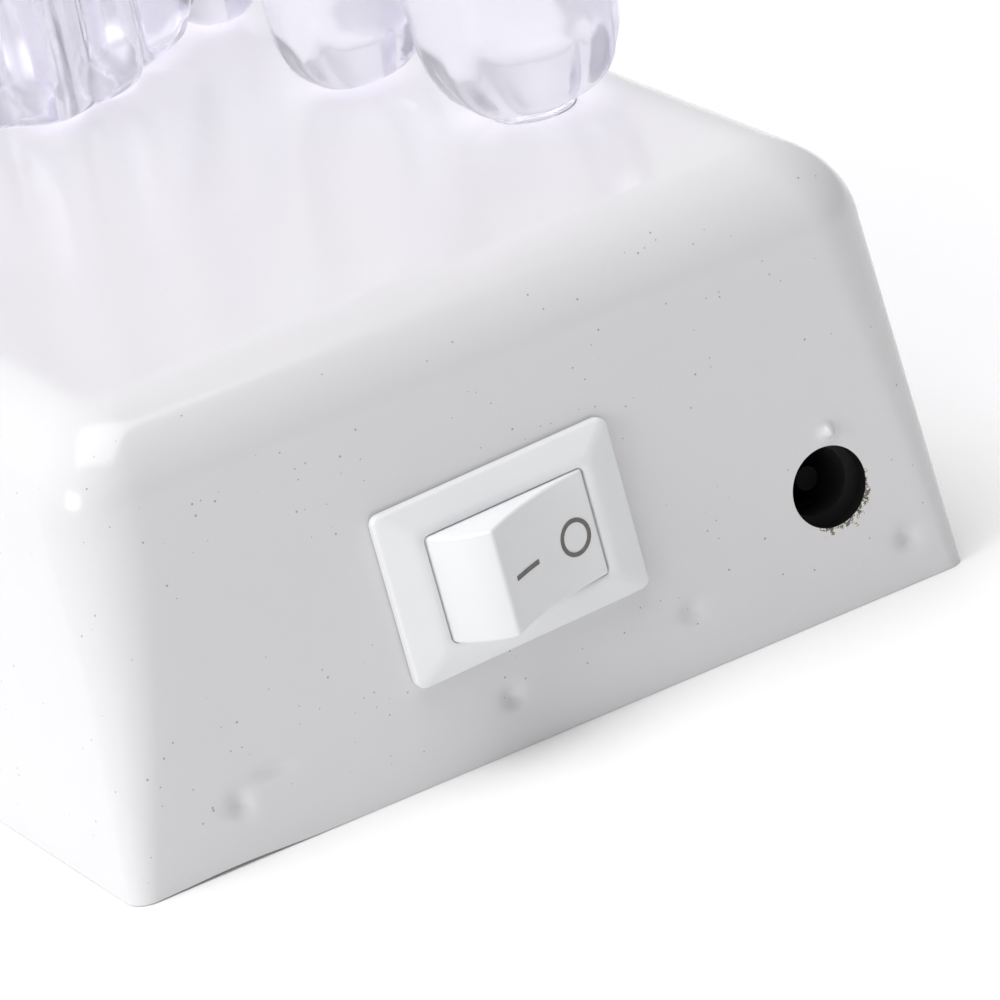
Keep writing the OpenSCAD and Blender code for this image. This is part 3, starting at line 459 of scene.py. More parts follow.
def makeShell():
    size = shell
    shoulder = size["height"] - size["fillet"]
    flawAlong, flawUp, flawWide, flawTall = np.array(wallFlaws).T[:4]
    wallZ = withFlaws(np.linspace(size["rim"], shoulder, 42), flawUp, flawTall)
    rows = len(wallZ)
    sweep = np.radians(np.linspace(0, 90, 17))[1:]
    topIn = np.linspace(0, 1, 24)[1:]
    z = np.concatenate([wallZ, shoulder + size["fillet"] * np.sin(sweep), np.full(len(topIn), size["height"])])
    drafted = np.minimum(z, shoulder)
    bend = size["kneeSoft"] * np.log1p(np.exp((drafted - size["kneeUp"]) / size["kneeSoft"]))
    kneeBend = drafted - bend
    frontSlope, upperSlope = slope(size["frontFoot"]), slope(size["sideUpper"])
    frontIn = upperSlope * drafted + (frontSlope - upperSlope) * kneeBend
    backIn = frontIn + (frontSlope - slope(size["backFoot"])) * (size["kneeUp"] - kneeBend)
    endIn = slope(size["endDraft"]) * drafted
    over = np.concatenate([np.zeros(rows), size["fillet"] * (1 - np.cos(sweep)),
                           np.full(len(topIn), size["fillet"])])
    halfTop = size["width"] / 2 - size["fillet"] - frontIn[-1]
    flatIn = np.concatenate([np.zeros(rows + len(sweep)), topIn]) * halfTop
    halfLength = size["length"] / 2 - endIn - over - flatIn
    halfWidth = (size["width"] - frontIn - backIn) / 2 - over - flatIn
    middle = (frontIn - backIn) / 2
    upright = size["footCorner"] + (size["corner"] - size["footCorner"]) * drafted / shoulder
    radius = np.clip(upright - over / 2 - flatIn, 0, None)
    sideRun = halfWidth - radius
    shares = (flawAlong - np.interp(flawUp, wallZ, middle[:rows])) / np.interp(flawUp, wallZ, sideRun[:rows])
    endReach = 33  # half the straight run of the end wall
    endRun = withFlaws(np.linspace(-endReach, endReach, 57), endReach * shares, flawWide) / endReach
    columns = shellOutline(endRun)
    shareX, shareY, outX, outY = columns.T[:, None, :]
    x = shareX * (halfLength - radius)[:, None] + outX * radius[:, None]
    y = shareY * sideRun[:, None] + outY * radius[:, None] + middle[:, None]
    place, reach, rise = size["rimWave"]
    level = z[:, None] + rise * hump(y, place, reach) * (x > 0) * np.clip(1 - z / 3, 0, 1)[:, None]
    flaw = sum(depth * hump(y, along, wide) * hump(level, up, tall)
               for along, up, wide, tall, depth in wallFlaws)
    push = np.where((outX > 0.999) & (level < shoulder), flaw, 0.0)
    draft = math.radians(size["endDraft"])
    skin = np.stack([x + push * math.cos(draft), y, level + push * math.sin(draft)], axis=-1)
    part = (skin.reshape(-1, 3), gridQuads(*skin.shape[:2], True), [])
    obj = makeObject("baseShell", [part])
    obj.data.materials.append(whitePaint)
    # second finish, near-black painted shade, goes on the inside face that the solidify makes
    obj.data.materials.append(paintedShadeInside)
    addModifier(obj, "WELD", merge_threshold=0.000004)
    addModifier(obj, "SOLIDIFY", thickness=size["wall"] * mm, offset=-1, material_offset=1)
    applyModifiers(obj)
    liftRim(obj, size["rim"] * mm)
    span = (size["cutIn"], size["cutOut"])
    tools = [wallRod("plugCut", size["plugSide"], size["plugUp"], size["plugRadius"], *span),
             switchBlock("switchCut", 0.0, size["cutLength"], size["cutHeight"], *span)]
    # the cut walls take the near-black painted shade
    for tool in tools:
        tool.data.materials.append(paintedShadeInside)
    for name, spot, spotRadius in spigotSpots:
        hole = uprightRod(name, spot, spotRadius + spigots["play"], size["height"] - 4, size["height"] + 2)
        hole.data.materials.append(whitePaint)
        tools.append(hole)
    boolean(obj, "DIFFERENCE", tools)
    smoothShade(obj, 40)
    return handIn(obj, "base", "base_paint", "base_shell")


def circle(radius, cols):
    angle = around(cols)
    return radius * np.stack([np.cos(angle), np.sin(angle)], axis=1)


def rodPart(radius, low, high, cols=64):  # upright rod about the origin
    ring = circle(radius, cols)
    return tubePart(np.stack([np.column_stack([ring, np.full(cols, level)]) for level in (low, high)]))


def uprightRod(name, spot, radius, low, high):
    points, quads, caps = rodPart(radius, low, high)
    return makeObject(name, [(points + [spot[0], spot[1], 0], quads, caps)])


def wallRod(name, side, up, radius, low, high):  # rod along the wall's outward axis
    points, quads, caps = rodPart(radius, low, high, 96)
    return makeObject(name, [(onWall(points[:, [2, 0, 1]], side, up), quads, caps)])


def switchBlock(name, along, length, height, low, high):  # block in the switch frame between two depths
    ring = roundRect(length, height, 0.4, 4) + [along, 0]
    rings = np.stack([np.column_stack([np.full(len(ring), out), ring]) for out in (low, high)])
    points, quads, caps = tubePart(rings)
    return makeObject(name, [(onSwitch(points), quads, caps)])


wingSide, wingBack = spigots["wingFoot"]
spigotSpots = [("gownSpigot", (0.0, 0.0), spigots["gownRadius"]),
               ("rightSpigot", (wingSide, wingBack), spigots["wingRadius"]),
               ("leftSpigot", (-wingSide, wingBack), spigots["wingRadius"])]
baseShell = makeShell()
print("base shell:", len(baseShell.data.polygons), "faces")


# Paint chips at the lower right of the plug hole: dark and pale grains in a noisy patch along its edge
chips = dict(reach=1.0, towards=(0.5, -0.87), start=0.5, wild=2.4, ends=1.3, dark=(0.13, 0.12, 0.1),
             pale=(0.74, 0.71, 0.66))


def addChips():
    tree = whitePaint.node_tree
    colour = tree.nodes["Principled BSDF"].inputs["Base Color"]
    paintColour = colour.links[0].from_socket
    where = addNode(tree, "ShaderNodeTexCoord")
    middle = onWall(np.zeros(3), shell["plugSide"], shell["plugUp"]) * mm
    apart = addNode(tree, "ShaderNodeVectorMath", {"operation": "SUBTRACT"})
    apart.inputs[1].default_value = middle.tolist()
    tree.links.new(where.outputs["Object"], apart.inputs[0])
    far = addNode(tree, "ShaderNodeVectorMath", {"operation": "LENGTH"})
    tree.links.new(apart.outputs[0], far.inputs[0])
    lean = addNode(tree, "ShaderNodeVectorMath", {"operation": "DOT_PRODUCT"})
    lean.inputs[1].default_value = (0.0, chips["towards"][0] / mm, chips["towards"][1] / mm)
    tree.links.new(apart.outputs[0], lean.inputs[0])
    noise = placeGroup(tree, castGrain, Scale=1800.0, Fine=2.0)
    edge = mathNode(tree, "SUBTRACT", far.outputs["Value"], shell["plugRadius"] * mm)
    share = mathNode(tree, "DIVIDE", edge, chips["reach"] * mm)
    turned = mathNode(tree, "DIVIDE", lean.outputs["Value"], shell["plugRadius"])
    side = mathNode(tree, "SUBTRACT", turned, chips["start"])
    wild = mathNode(tree, "MULTIPLY", mathNode(tree, "SUBTRACT", noise.outputs["Cloud"], 0.5), chips["wild"])
    level = mathNode(tree, "ADD", mathNode(tree, "SUBTRACT", side, share), wild)
    near = mathNode(tree, "LESS_THAN", share, chips["ends"])
    bare = mathNode(tree, "MULTIPLY", mathNode(tree, "GREATER_THAN", level, 0.0), near)
    grains = mathNode(tree, "GREATER_THAN", noise.outputs["Grain"], 0.52)
    grainColour = blendColours(tree, grains, chips["dark"], chips["pale"])
    tree.links.new(blendColours(tree, bare, paintColour, grainColour), colour)


addChips()
print("paint chips added")


# Bottom pad: thin black foam sheet with a soft cut edge; its near-black also stands in for the shade line under
# the shell's rim
pad = dict(corner=5.0, edge=0.35)


def makePad():
    low, high = (np.array(corner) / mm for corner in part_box("bottom_pad"))
    turn = np.radians(np.linspace(-90, 90, 9))
    insets = np.concatenate([[8.0, 3.0], pad["edge"] * (1 - np.cos(turn)), [3.0, 8.0]])
    tops = np.concatenate([[-1.0, -1.0], np.sin(turn), [1.0, 1.0]])
    middle, half = (low + high) / 2, (high - low) / 2
    length, width = high[0] - low[0], high[1] - low[1]
    rings = []
    for inset, top in zip(insets, tops):
        ring = roundRect(length - 2 * inset, width - 2 * inset, max(pad["corner"] - inset, 0.5), 14)
        rings.append(np.column_stack([ring + middle[:2], np.full(len(ring), middle[2] + half[2] * top)]))
    obj = makeObject("bottomPad", [tubePart(np.stack(rings))])
    obj.data.materials.append(padFoamAndShade)
    smoothShade(obj, 50)
    return handIn(obj, "base", "pad_foam", "bottom_pad")


bottomPad = makePad()
print("bottom pad made")


# Switch housing: a row of round rectangles (length, height, corner, out) from the back of the body,
# under the frame, over its sloped face, into the opening and down to the floor
housing = dict(pivotOut=-0.5, pinHole=1.55, pinReach=6.0, slotLength=0.9, slotHeight=4.9, slotSpan=(-12, -9))
housing["slots"] = [("commonSlot", 0.0), ("loadSlot", 3.6)]
housing["rows"] = [
    (19.1, 12.5, 0.5, -11.2), (19.1, 12.5, 0.5, -6.0), (19.1, 12.5, 0.5, -0.3), (19.1, 12.5, 0.5, 0.05),
    (20.9, 14.2, 0.8, 0.05), (21.26, 14.56, 0.8, 0.12), (21.3, 14.6, 0.8, 0.3), (21.3, 14.6, 0.8, 0.82),
    (21.24, 14.55, 0.8, 0.93), (21.0, 14.36, 0.8, 1.02), (20.6, 14.04, 0.8, 1.09), (18.6, 12.47, 0.76, 1.44),
    (17.0, 11.21, 0.72, 1.73), (16.3, 10.66, 0.7, 1.84), (15.9, 10.3, 0.68, 1.88), (15.4, 9.85, 0.64, 1.9),
    (15.0, 9.45, 0.6, 1.88), (14.54, 9.2, 0.55, 1.8), (14.43, 9.12, 0.5, 1.68), (14.4, 9.1, 0.5, 1.5),
    (14.4, 9.1, 0.5, 1.3), (15.42, 9.1, 0.5, 1.3), (15.42, 9.1, 0.5, -2.0), (15.42, 9.1, 0.5, -6.0),
    (15.42, 9.1, 0.5, -10.0)]


def makeHousing():
    rings = []
    for length, height, corner, out in housing["rows"]:
        ring = roundRect(length, height, corner, 10)
        rings.append(np.column_stack([np.full(len(ring), out), ring]))
    points, quads, caps = tubePart(np.stack(rings))
    obj = makeObject("switchFrame", [(onSwitch(points), quads, caps)])
    obj.data.materials.append(switchWhite)
    points, quads, caps = rodPart(housing["pinHole"], -housing["pinReach"], housing["pinReach"], 40)
    pin = makeObject("pinHole", [(onSwitch(points + [housing["pivotOut"], 0, 0]), quads, caps)])
    slots = [switchBlock(name, along, housing["slotLength"], housing["slotHeight"], *housing["slotSpan"])
             for name, along in housing["slots"]]
    boolean(obj, "DIFFERENCE", [pin] + slots)
    smoothShade(obj, 38)
    return handIn(obj, "base", "switch_plastic", "switch_housing")


switchFrame = makeHousing()
print("switch frame made")


# Rocker: outline of two round ends and a hollow top, in its own frame (out of its top, along, across)
rocker = dict(tilt=21.5, wide=9.0, radius=7.408, ridgeHalf=5.6, ridgeUp=4.85, hollow=23.0, skirt=2.4,
              bevel=0.28, pinRadius=1.5, pinReach=5.55, postRadius=1.9, postLength=4.2, postTop=0.5,
              boreRadius=1.05, boreTop=0.6, wall=1.1, pocketTop=2.6, pocketFoot=-4.5, pocketTurn=-0.72)
marks = dict(barAt=-2.4, barLong=3.1, barThick=0.38, ringAt=3.45, ringRadius=1.36, ringThick=0.36, across=-0.38,
             proud=0.02)


def inRocker(points):  # rocker frame to the lamp's frame, tilted to the off end
    turn = math.radians(rocker["tilt"])
    out = points[..., 0] * math.cos(turn) - points[..., 1] * math.sin(turn)
    along = points[..., 0] * math.sin(turn) + points[..., 1] * math.cos(turn)
    local = np.stack([out + housing["pivotOut"], along, points[..., 2]], axis=-1)
    return onSwitch(local)


def hollowTop(along):  # height of the hollow top over the pivot
    edge = math.sqrt(rocker["hollow"] ** 2 - rocker["ridgeHalf"] ** 2)
    return rocker["ridgeUp"] + edge - np.sqrt(rocker["hollow"] ** 2 - along ** 2)


def prismPart(outline, low, high):  # outline (out, along) carried across the rocker
    rings = [np.column_stack([outline, np.full(len(outline), level)]) for level in (low, high)]
    return tubePart(np.stack(rings))


def rockerObject(name, part):
    return makeObject(name, [(inRocker(part[0]), part[1], part[2])])


def outwardRod(name, radius, low, high, cols):  # rod along the rocker's own outward axis
    points, quads, caps = rodPart(radius, low, high, cols)
    return rockerObject(name, (points[:, [2, 0, 1]], quads, caps))


def pocketTool(end):  # hollow under one end of the rocker, a wall's thickness inside its skin
    size = rocker
    inner = size["radius"] - size["wall"]
    near = size["pinRadius"] + size["wall"]
    half = size["wide"] / 2 - size["wall"]
    arc = np.linspace(size["pocketTurn"], math.acos(near / inner), 14)
    curve = np.stack([np.minimum(inner * np.sin(arc), size["pocketTop"]), inner * np.cos(arc)], axis=1)
    foot = [[size["pocketFoot"], near], [size["pocketFoot"], inner * math.cos(size["pocketTurn"])]]
    shape = np.concatenate([foot, curve, [[size["pocketTop"], near]]]) * [1, end]
    return rockerObject("pocket", prismPart(shape[::-end], -half, half))


def makeRocker():
    size = rocker
    start = math.asin(-size["skirt"] / size["radius"])
    end = math.atan2(size["ridgeUp"], size["ridgeHalf"])
    sweep = np.linspace(start, end, 16)
    right = size["radius"] * np.stack([np.sin(sweep), np.cos(sweep)], axis=1)
    along = np.linspace(size["ridgeHalf"], -size["ridgeHalf"], 34)[1:-1]
    top = np.stack([hollowTop(along), along], axis=1)
    left = right[::-1] * [1, -1]
    outline = np.concatenate([right, top, left])[::-1]
    obj = rockerObject("rocker", prismPart(outline, -size["wide"] / 2, size["wide"] / 2))
    obj.data.materials.append(rockerWhite)
    addModifier(obj, "BEVEL", width=size["bevel"] * mm, segments=4, limit_method="ANGLE",
                angle_limit=math.radians(24))
    applyModifiers(obj)
    pin = rockerObject("rockerPin", rodPart(size["pinRadius"], -size["pinReach"], size["pinReach"], 48))
    post = outwardRod("rockerPost", size["postRadius"], -size["postLength"], size["postTop"], 48)
    bore = outwardRod("rockerBore", size["boreRadius"], -size["postLength"] - 2, size["boreTop"], 32)
    boolean(obj, "DIFFERENCE", [pocketTool(-1), pocketTool(1)])
    boolean(obj, "UNION", [pin, post])
    boolean(obj, "DIFFERENCE", [bore])
    smoothShade(obj, 32)
    return handIn(obj, "rocker", "rocker_plastic", "switch_rocker")


def markSheet(name, along, across):  # sheet laid on the hollow top, raised by the ink's thickness
    grid = np.stack([hollowTop(along) + marks["proud"], along, across + marks["across"]], axis=-1)
    obj = makeObject(name, [sheetPart(inRocker(grid))])
    obj.data.materials.append(markInk)
    addModifier(obj, "SOLIDIFY", thickness=2 * marks["proud"] * mm, offset=0)
    applyModifiers(obj)
    smoothShade(obj, 40)
    return handIn(obj, "rocker", "rocker_plastic")


makeRocker()
barU, barV = np.meshgrid(np.linspace(-0.5, 0.5, 12), np.linspace(-0.5, 0.5, 4), indexing="ij")
barMark = markSheet("barMark", marks["barAt"] + barU * marks["barLong"], barV * marks["barThick"])
ringA, ringR = np.meshgrid(np.linspace(0, 2 * np.pi, 65), np.linspace(-0.5, 0.5, 4), indexing="ij")
ringRadius = marks["ringRadius"] + ringR * marks["ringThick"]
ringMark = markSheet("ringMark", marks["ringAt"] + ringRadius * np.cos(ringA), ringRadius * np.sin(ringA))
print("rocker and its marks made")


# Clear figure, heights above the base top
figure = dict(fold=3.4, folds=8, foldStart=-14.6, neck=101.0, headTall=18.5, voxel=0.42, relax=3, seat=0.05,
              seatPlane=8.6, lugAt=(5.0, 4.6, 87.0), lugHalf=(4.4, 5.5, 8.25))
dowel = dict(radius=1.6, reach=3.7, side=5.0, ups=(84.0, 89.0))
gownRows = [  # height, half width, half depth, depth of the folds
    (0, 9.4, 9.4, 0.1), (1, 10.6, 10.6, 0.62), (2.6, 11.2, 11.2, 0.86), (5.5, 11.4, 11.4, 1.0),
    (12, 11.4, 11.4, 0.9), (24, 11.4, 11.2, 0.7), (40, 10.8, 10.4, 0.48), (56, 9.8, 8.8, 0.28),
    (68, 8.2, 6.6, 0.14), (75, 8.8, 6.8, 0.06), (86, 10.8, 7.6, 0.0), (94, 11.5, 6.8, 0.0),
    (97.5, 8.2, 5.4, 0.0), (100, 4.3, 4.3, 0.0), (104, 3.7, 3.9, 0.0), (109, 3.4, 3.6, 0.0)]
hairRows = [  # height from the head's middle, half width, half depth, shift to the back
    (-18.6, 2.0, 1.6, 4.2), (-17.6, 4.6, 3.2, 4.1), (-15.4, 6.8, 4.6, 3.9), (-12, 7.6, 5.6, 3.4),
    (-8, 7.6, 6.6, 2.6), (-4, 7.9, 7.4, 1.6), (0, 8.2, 8.0, 0.9), (4, 8.1, 7.9, 0.6), (7, 6.6, 6.6, 0.5),
    (8.9, 4.0, 4.2, 0.5), (9.7, 1.2, 1.3, 0.5)]
bands = [(0.75, 69.0, 1.3), (0.45, 72.6, 0.9), (0.4, 98.2, 0.8)]  # belt and collar: push, height, width
faceBells = [  # push, degrees to each side, their width, height on the egg, its width
    (1.25, 0, 9.0, -0.16, 0.13), (0.75, 0, 8.0, 0.02, 0.13),  # nose and its bridge
    (0.4, 0, 38.0, 0.18, 0.07),  # brow
    (-0.6, 21.0, 11.0, 0.05, 0.08), (0.42, 21.0, 8.5, 0.02, 0.045),  # eyes and lids
    (0.42, 0, 13.0, -0.405, 0.035), (0.42, 0, 13.0, -0.485, 0.04),  # lips
    (0.8, 0, 17.0, -0.72, 0.11), (0.35, 36.0, 15.0, -0.2, 0.17)]  # chin and cheeks
arm = dict(knots=[(10.8, 0.5, -8), (14.4, -4.2, -24.4), (4.4, -12.3, -16.2)], at=[0, 0.08, 0.5, 0.94, 1],
           radius=[2.6, 4.5, 4.1, 3.2, 2.4], crease=0.045, creases=46)
sleeve = dict(knots=[(14.2, -4.0, -25.6), (10.6, -8.6, -23.6), (5.0, -12.4, -19.6)], at=[0, 0.1, 0.55, 0.95, 1],
              deep=[2.2, 3.6, 5.0, 6.3, 5.6], wide=[2.0, 3.2, 2.9, 2.5, 1.9], drape=0.09, drapes=7)
hand = dict(knots=[(2.3, -12.6, -16.5), (1.45, -14.2, -11.6), (0.8, -14.7, -4.9)], groove=0.16,
            wideAt=[0, 0.2, 0.5, 0.85, 0.96, 1], wide=[1.7, 2.1, 2.3, 1.7, 1.0, 0.3],
            thickAt=[0, 0.4, 0.9, 1], thick=[1.6, 1.35, 0.8, 0.25])
train = dict(knots=[(0, 5, 66), (0, 7.6, 48), (0, 9.6, 32), (0, 14.4, 18), (0, 17.0, 11), (0, 18, 4.55)],
             at=[0, 0.04, 0.4, 0.8, 1], radius=[1.5, 3.0, 5.0, 5.0, 4.5], groove=0.05, grooves=9)


def stations(at, rows):  # first number of each row is its height, the others are carried through
    return through(at, [row[0] for row in rows], [row[1:] for row in rows])


def fromNeck(t, knots):  # path through points whose heights are counted from the neck
    return through(t, [0, 0.5, 1], np.array(knots) + [0, 0, figure["neck"]])


def levelRings(z, *sides):  # rings from their X and Y with one height for each
    return np.stack([*sides, np.broadcast_to(z, sides[0].shape)], axis=-1)


def gownPart():  # stations give the oval, two waves give deep and shallow folds, fine pleats ride on them
    size = figure
    h = np.concatenate([np.linspace(0, 6, 25)[:-1], np.linspace(6, 109, 190)])
    a = around(288)[None, :]
    rows = stations(h, gownRows)
    turn = a - math.radians(size["foldStart"])
    fold = 0.53 * np.cos(size["folds"] * turn) + 0.47 * np.cos(size["folds"] / 2 * turn)
    deep = size["fold"] * rows[:, 2:3]
    sway = 0.35 * np.sin(h / 19.0)[:, None]
    pleat = 0.07 * np.cos(24 * turn + 3 * sway) + 0.05 * np.cos(40 * turn - 5 * sway)
    pleat = pleat * np.clip((h - 15.0) / 12.0, 0, 1)[:, None]
    belt = sum(push * hump(h, up, tall) for push, up, tall in bands)
    chest = 1.1 * hump(h, 85.0, 7.0)[:, None] * np.clip(-np.sin(a), 0, 1) ** 2
    grow = deep * (fold + pleat) + belt[:, None] + chest
    x = (rows[:, 0:1] + grow) * np.cos(a)
    y = (rows[:, 1:2] + grow) * np.sin(a)
    return tubePart(levelRings(h[:, None] + size["seat"], x, y))


def headMiddle():
    return figure["neck"] + 0.63 * figure["headTall"]


def fromFront(angle):  # degrees from the figure's front
    return np.degrees(np.angle(np.exp(1j * (angle + np.pi / 2))))


def headPart():  # egg with brow, lids, nose, lips and chin as bells on its front
    tall = figure["headTall"]
    v = -np.cos(np.linspace(0.03, np.pi - 0.03, 84))[:, None]
    a = around(144)[None, :]
    b = np.abs(fromFront(a))
    face = sum(push * hump(b, side, wide) * hump(v, up, high) for push, side, wide, up, high in faceBells)
    s = np.sqrt(1 - v * v) * (1 - 0.16 * np.maximum(-v, 0))
    x = (0.36 * tall * s + face) * np.cos(a)
    y = (0.42 * tall * s + face) * np.sin(a)
    return tubePart(levelRings(headMiddle() + 0.5 * tall * v, x, y))


def hairPart():  # rings from the shoulders to the crown, drawn in over the face, with waved strands
    h = np.linspace(-18.6, 9.7, 96)
    a = around(240)[None, :]
    rows = stations(h, hairRows)
    brow = 1 / (1 + np.exp((h - 3.4) / 0.7))[:, None]
    front = brow / (1 + np.exp((np.abs(fromFront(a)) - 62) / 5.0))
    broad = 0.2 * np.cos(26 * a + 2.2 * np.sin(h / 3.6)[:, None])
    fine = 0.12 * np.cos(44 * a - 3.0 * np.sin(h / 5.0)[:, None])
    curl = 0.45 * np.sin(h / 2.3)[:, None] * hump(h, -12, 6)[:, None]
    keep = 1 - 0.5 * front
    grow = (broad + fine + curl) * (1 - front) * np.clip(rows[:, 0:1] / 5, 0, 1)
    x = (rows[:, 0:1] * keep + grow) * np.cos(a)
    y = (rows[:, 1:2] * keep + grow) * np.sin(a) + rows[:, 2:3]
    return tubePart(levelRings(h[:, None] + headMiddle(), x, y))


def armPart():  # tube from shoulder to wrist
    t = np.linspace(0, 1, 44)
    crease = 1 + arm["crease"] * np.sin(t * arm["creases"])[:, None] * np.cos(around(56) * 2 + 1)[None, :]
    radius = np.interp(t, arm["at"], arm["radius"])[:, None] * crease
    return tubePart(ovalTube(fromNeck(t, arm["knots"]), radius, radius, 56, (0, 0, 1)))


def sleevePart():  # wide sleeve that hangs below the forearm, with folds
    t = np.linspace(0, 1, 40)
    drape = 1 + sleeve["drape"] * np.cos(sleeve["drapes"] * around(64)[None, :] + 5 * t[:, None])
    wide, deep = (np.interp(t, sleeve["at"], sleeve[way])[:, None] * drape for way in ("wide", "deep"))
    return tubePart(ovalTube(fromNeck(t, sleeve["knots"]), wide, deep, 64, (0, 0, 1)))


def handPart():  # one of the two palms laid together, with finger grooves towards the tips
    t = np.linspace(0, 1, 46)
    path = through(t, [0, 0.45, 1], np.array(hand["knots"]) + [0, 0, figure["neck"]])
    angle = around(72)[None, :]
    wide = np.interp(t, hand["wideAt"], hand["wide"])
    thick = np.interp(t, hand["thickAt"], hand["thick"])
    fingers = 1 + np.cos(8 * np.cos(angle) * np.pi / 2)
    groove = 1 - hand["groove"] * np.clip(t - 0.45, 0, 1)[:, None] * fingers
    return tubePart(ovalTube(path, wide[:, None] * np.ones_like(angle), thick[:, None] * groove, 72, (1, 0, 0)))


def trainPart():  # back fold of the gown down to its own round foot
    t = np.linspace(0, 1, 60)
    path = through(t, np.linspace(0, 1, len(train["knots"])), train["knots"])
    fade = np.clip(1.1 - t, 0, 1)[:, None]
    groove = 1 + train["groove"] * np.cos(train["grooves"] * around(72)[None, :]) * fade
    radius = np.interp(t, train["at"], train["radius"])[:, None] * groove
    foot = ballEnd(path[-1], (0, 0, -1), train["radius"][-1], 72)
    return tubePart(np.concatenate([ovalTube(path, radius, radius, 72), foot]))


def ballEnd(centre, heading, radius, cols, power=2.0, ribs=()):  # half ball, blunter for more power
    lean = np.radians(np.linspace(0, 88, 16))[1:]
    heading = unit(np.array(heading, float))
    path = np.array(centre) + heading * (radius * np.sin(lean) ** (2 / power))[:, None]
    side = unit(np.cross([0.0, 1.0, 0.0], heading))
    over = np.cross(heading, side)
    angle = around(cols)[None, :, None]
    wave = sum(deep * np.cos(count * angle + turn) for deep, count, turn in ribs)
    wide = (radius * np.cos(lean) ** (2 / power))[:, None, None] * (1 + np.sin(2 * lean)[:, None, None] * wave)
    return path[:, None, :] + wide * (side * np.cos(angle) + over * np.sin(angle))


def lugPart():  # thick of the back where a wing sits, cut flat at the seat plane
    v = np.linspace(0.06, np.pi - 0.06, 40)[:, None]
    a = around(64)[None, :]
    (x, y, z), (wide, deep, tall) = figure["lugAt"], figure["lugHalf"]
    ring = np.sin(v)
    points = levelRings(z - tall * np.cos(v), x + wide * ring * np.cos(a), y + deep * ring * np.sin(a))
    points[..., 1] = np.minimum(points[..., 1], figure["seatPlane"])
    return tubePart(points)


def onBaseTop(part):
    return part[0] + [0, 0, shell["height"]], part[1], part[2]


def dowelTools(sides):
    tools = []
    for side in sides:
        for up in dowel["ups"]:
            points, quads, caps = rodPart(dowel["radius"], -dowel["reach"], dowel["reach"], 32)
            middle = [side * dowel["side"], figure["seatPlane"], up + shell["height"]]
            placed = points[:, [0, 2, 1]] * [1, 1, -1] + middle
            tools.append(makeObject("dowelHole", [(placed, quads, caps)]))
    return tools


def frostSpigots(obj):  # what stands in the base's holes is frosted white
    obj.data.materials.append(spigotWhite)
    middles = np.zeros(3 * len(obj.data.polygons))
    obj.data.polygons.foreach_get("center", middles)
    low = middles.reshape(-1, 3)[:, 2] < (shell["height"] + 0.02) * mm
    obj.data.polygons.foreach_set("material_index", low.astype(np.int32))
    obj.data.update()


def castPiece(name, parts, voxel, sides, node):  # parts melted by a fine remesh, relaxed, drilled for dowels
    obj = makeObject(name, [onBaseTop(part) for part in parts])
    addModifier(obj, "REMESH", mode="VOXEL", voxel_size=voxel * mm, adaptivity=0.0)
    addModifier(obj, "SMOOTH", factor=0.5, iterations=figure["relax"])
    applyModifiers(obj)
    boolean(obj, "DIFFERENCE", dowelTools(sides))
    obj.data.materials.clear()
    obj.data.materials.append(clearCast)
    frostSpigots(obj)
    smoothShade(obj, 60)
    return handIn(obj, "base", "clear_figure", node)


def makeFigure():
    arms = [armPart(), sleevePart(), handPart(), lugPart()]
    spigot = rodPart(spigots["gownRadius"], -spigots["long"], 4.0, 96)
    parts = [gownPart(), headPart(), hairPart(), trainPart(), spigot]
    parts = parts + arms + [mirrorPart(part) for part in arms]
    return castPiece("clearAngel", parts, figure["voxel"], (-1, 1), "angel_figure")


clearAngel = makeFigure()
print("clear figure:", len(clearAngel.data.polygons), "faces")


# Wings: drop-shaped feathers below a rounded arch
wing = dict(voxel=0.55, archRadius=5.0, scallops=13, scallop=0.05, rootShare=0.6, swell=0.42, quill=0.12,
            barb=0.034, barbs=(23, 13), rootThick=(0.5, 1.0), bluntBelow=10, blunt=2.35,
            tipRibs=[(0.075, 7, 0.6), (0.045, 11, 2.1)])  # depth as a share of the radius, count, turn
archKnots = [(5, 11.2, 83), (8, 11.7, 91), (16, 13, 106), (31, 15.5, 117), (47, 18.5, 118), (60, 21.5, 106)]
longFeathers = [  # root, bend, centre of the round tip, its radius
    ((10, 12.5, 96), (17, 15, 60), (25.7, 18, 6.55), 6.5),
    ((19, 14, 106), (38, 18, 70), (*spigots["wingFoot"], 8.55), 8.5),
    ((31, 16, 114), (54, 20.5, 82), (57, 24, 30), 7.6), ((43, 18, 116), (62, 22, 96), (64.5, 24.5, 52), 6.8),
    ((54, 20.5, 110), (66, 23, 100), (69, 25, 75), 6.0)]
shortFeathers = [
    ((12, 12.5, 99), (16, 13.5, 84), (19, 15, 73), 4.6), ((24, 15, 111), (33, 17, 92), (35, 18.5, 77), 5.0),
    ((37, 17, 117), (48, 19.5, 100), (50, 21, 84), 4.8), ((50, 19.5, 115), (59, 21.5, 105), (61, 23, 94), 4.2)]


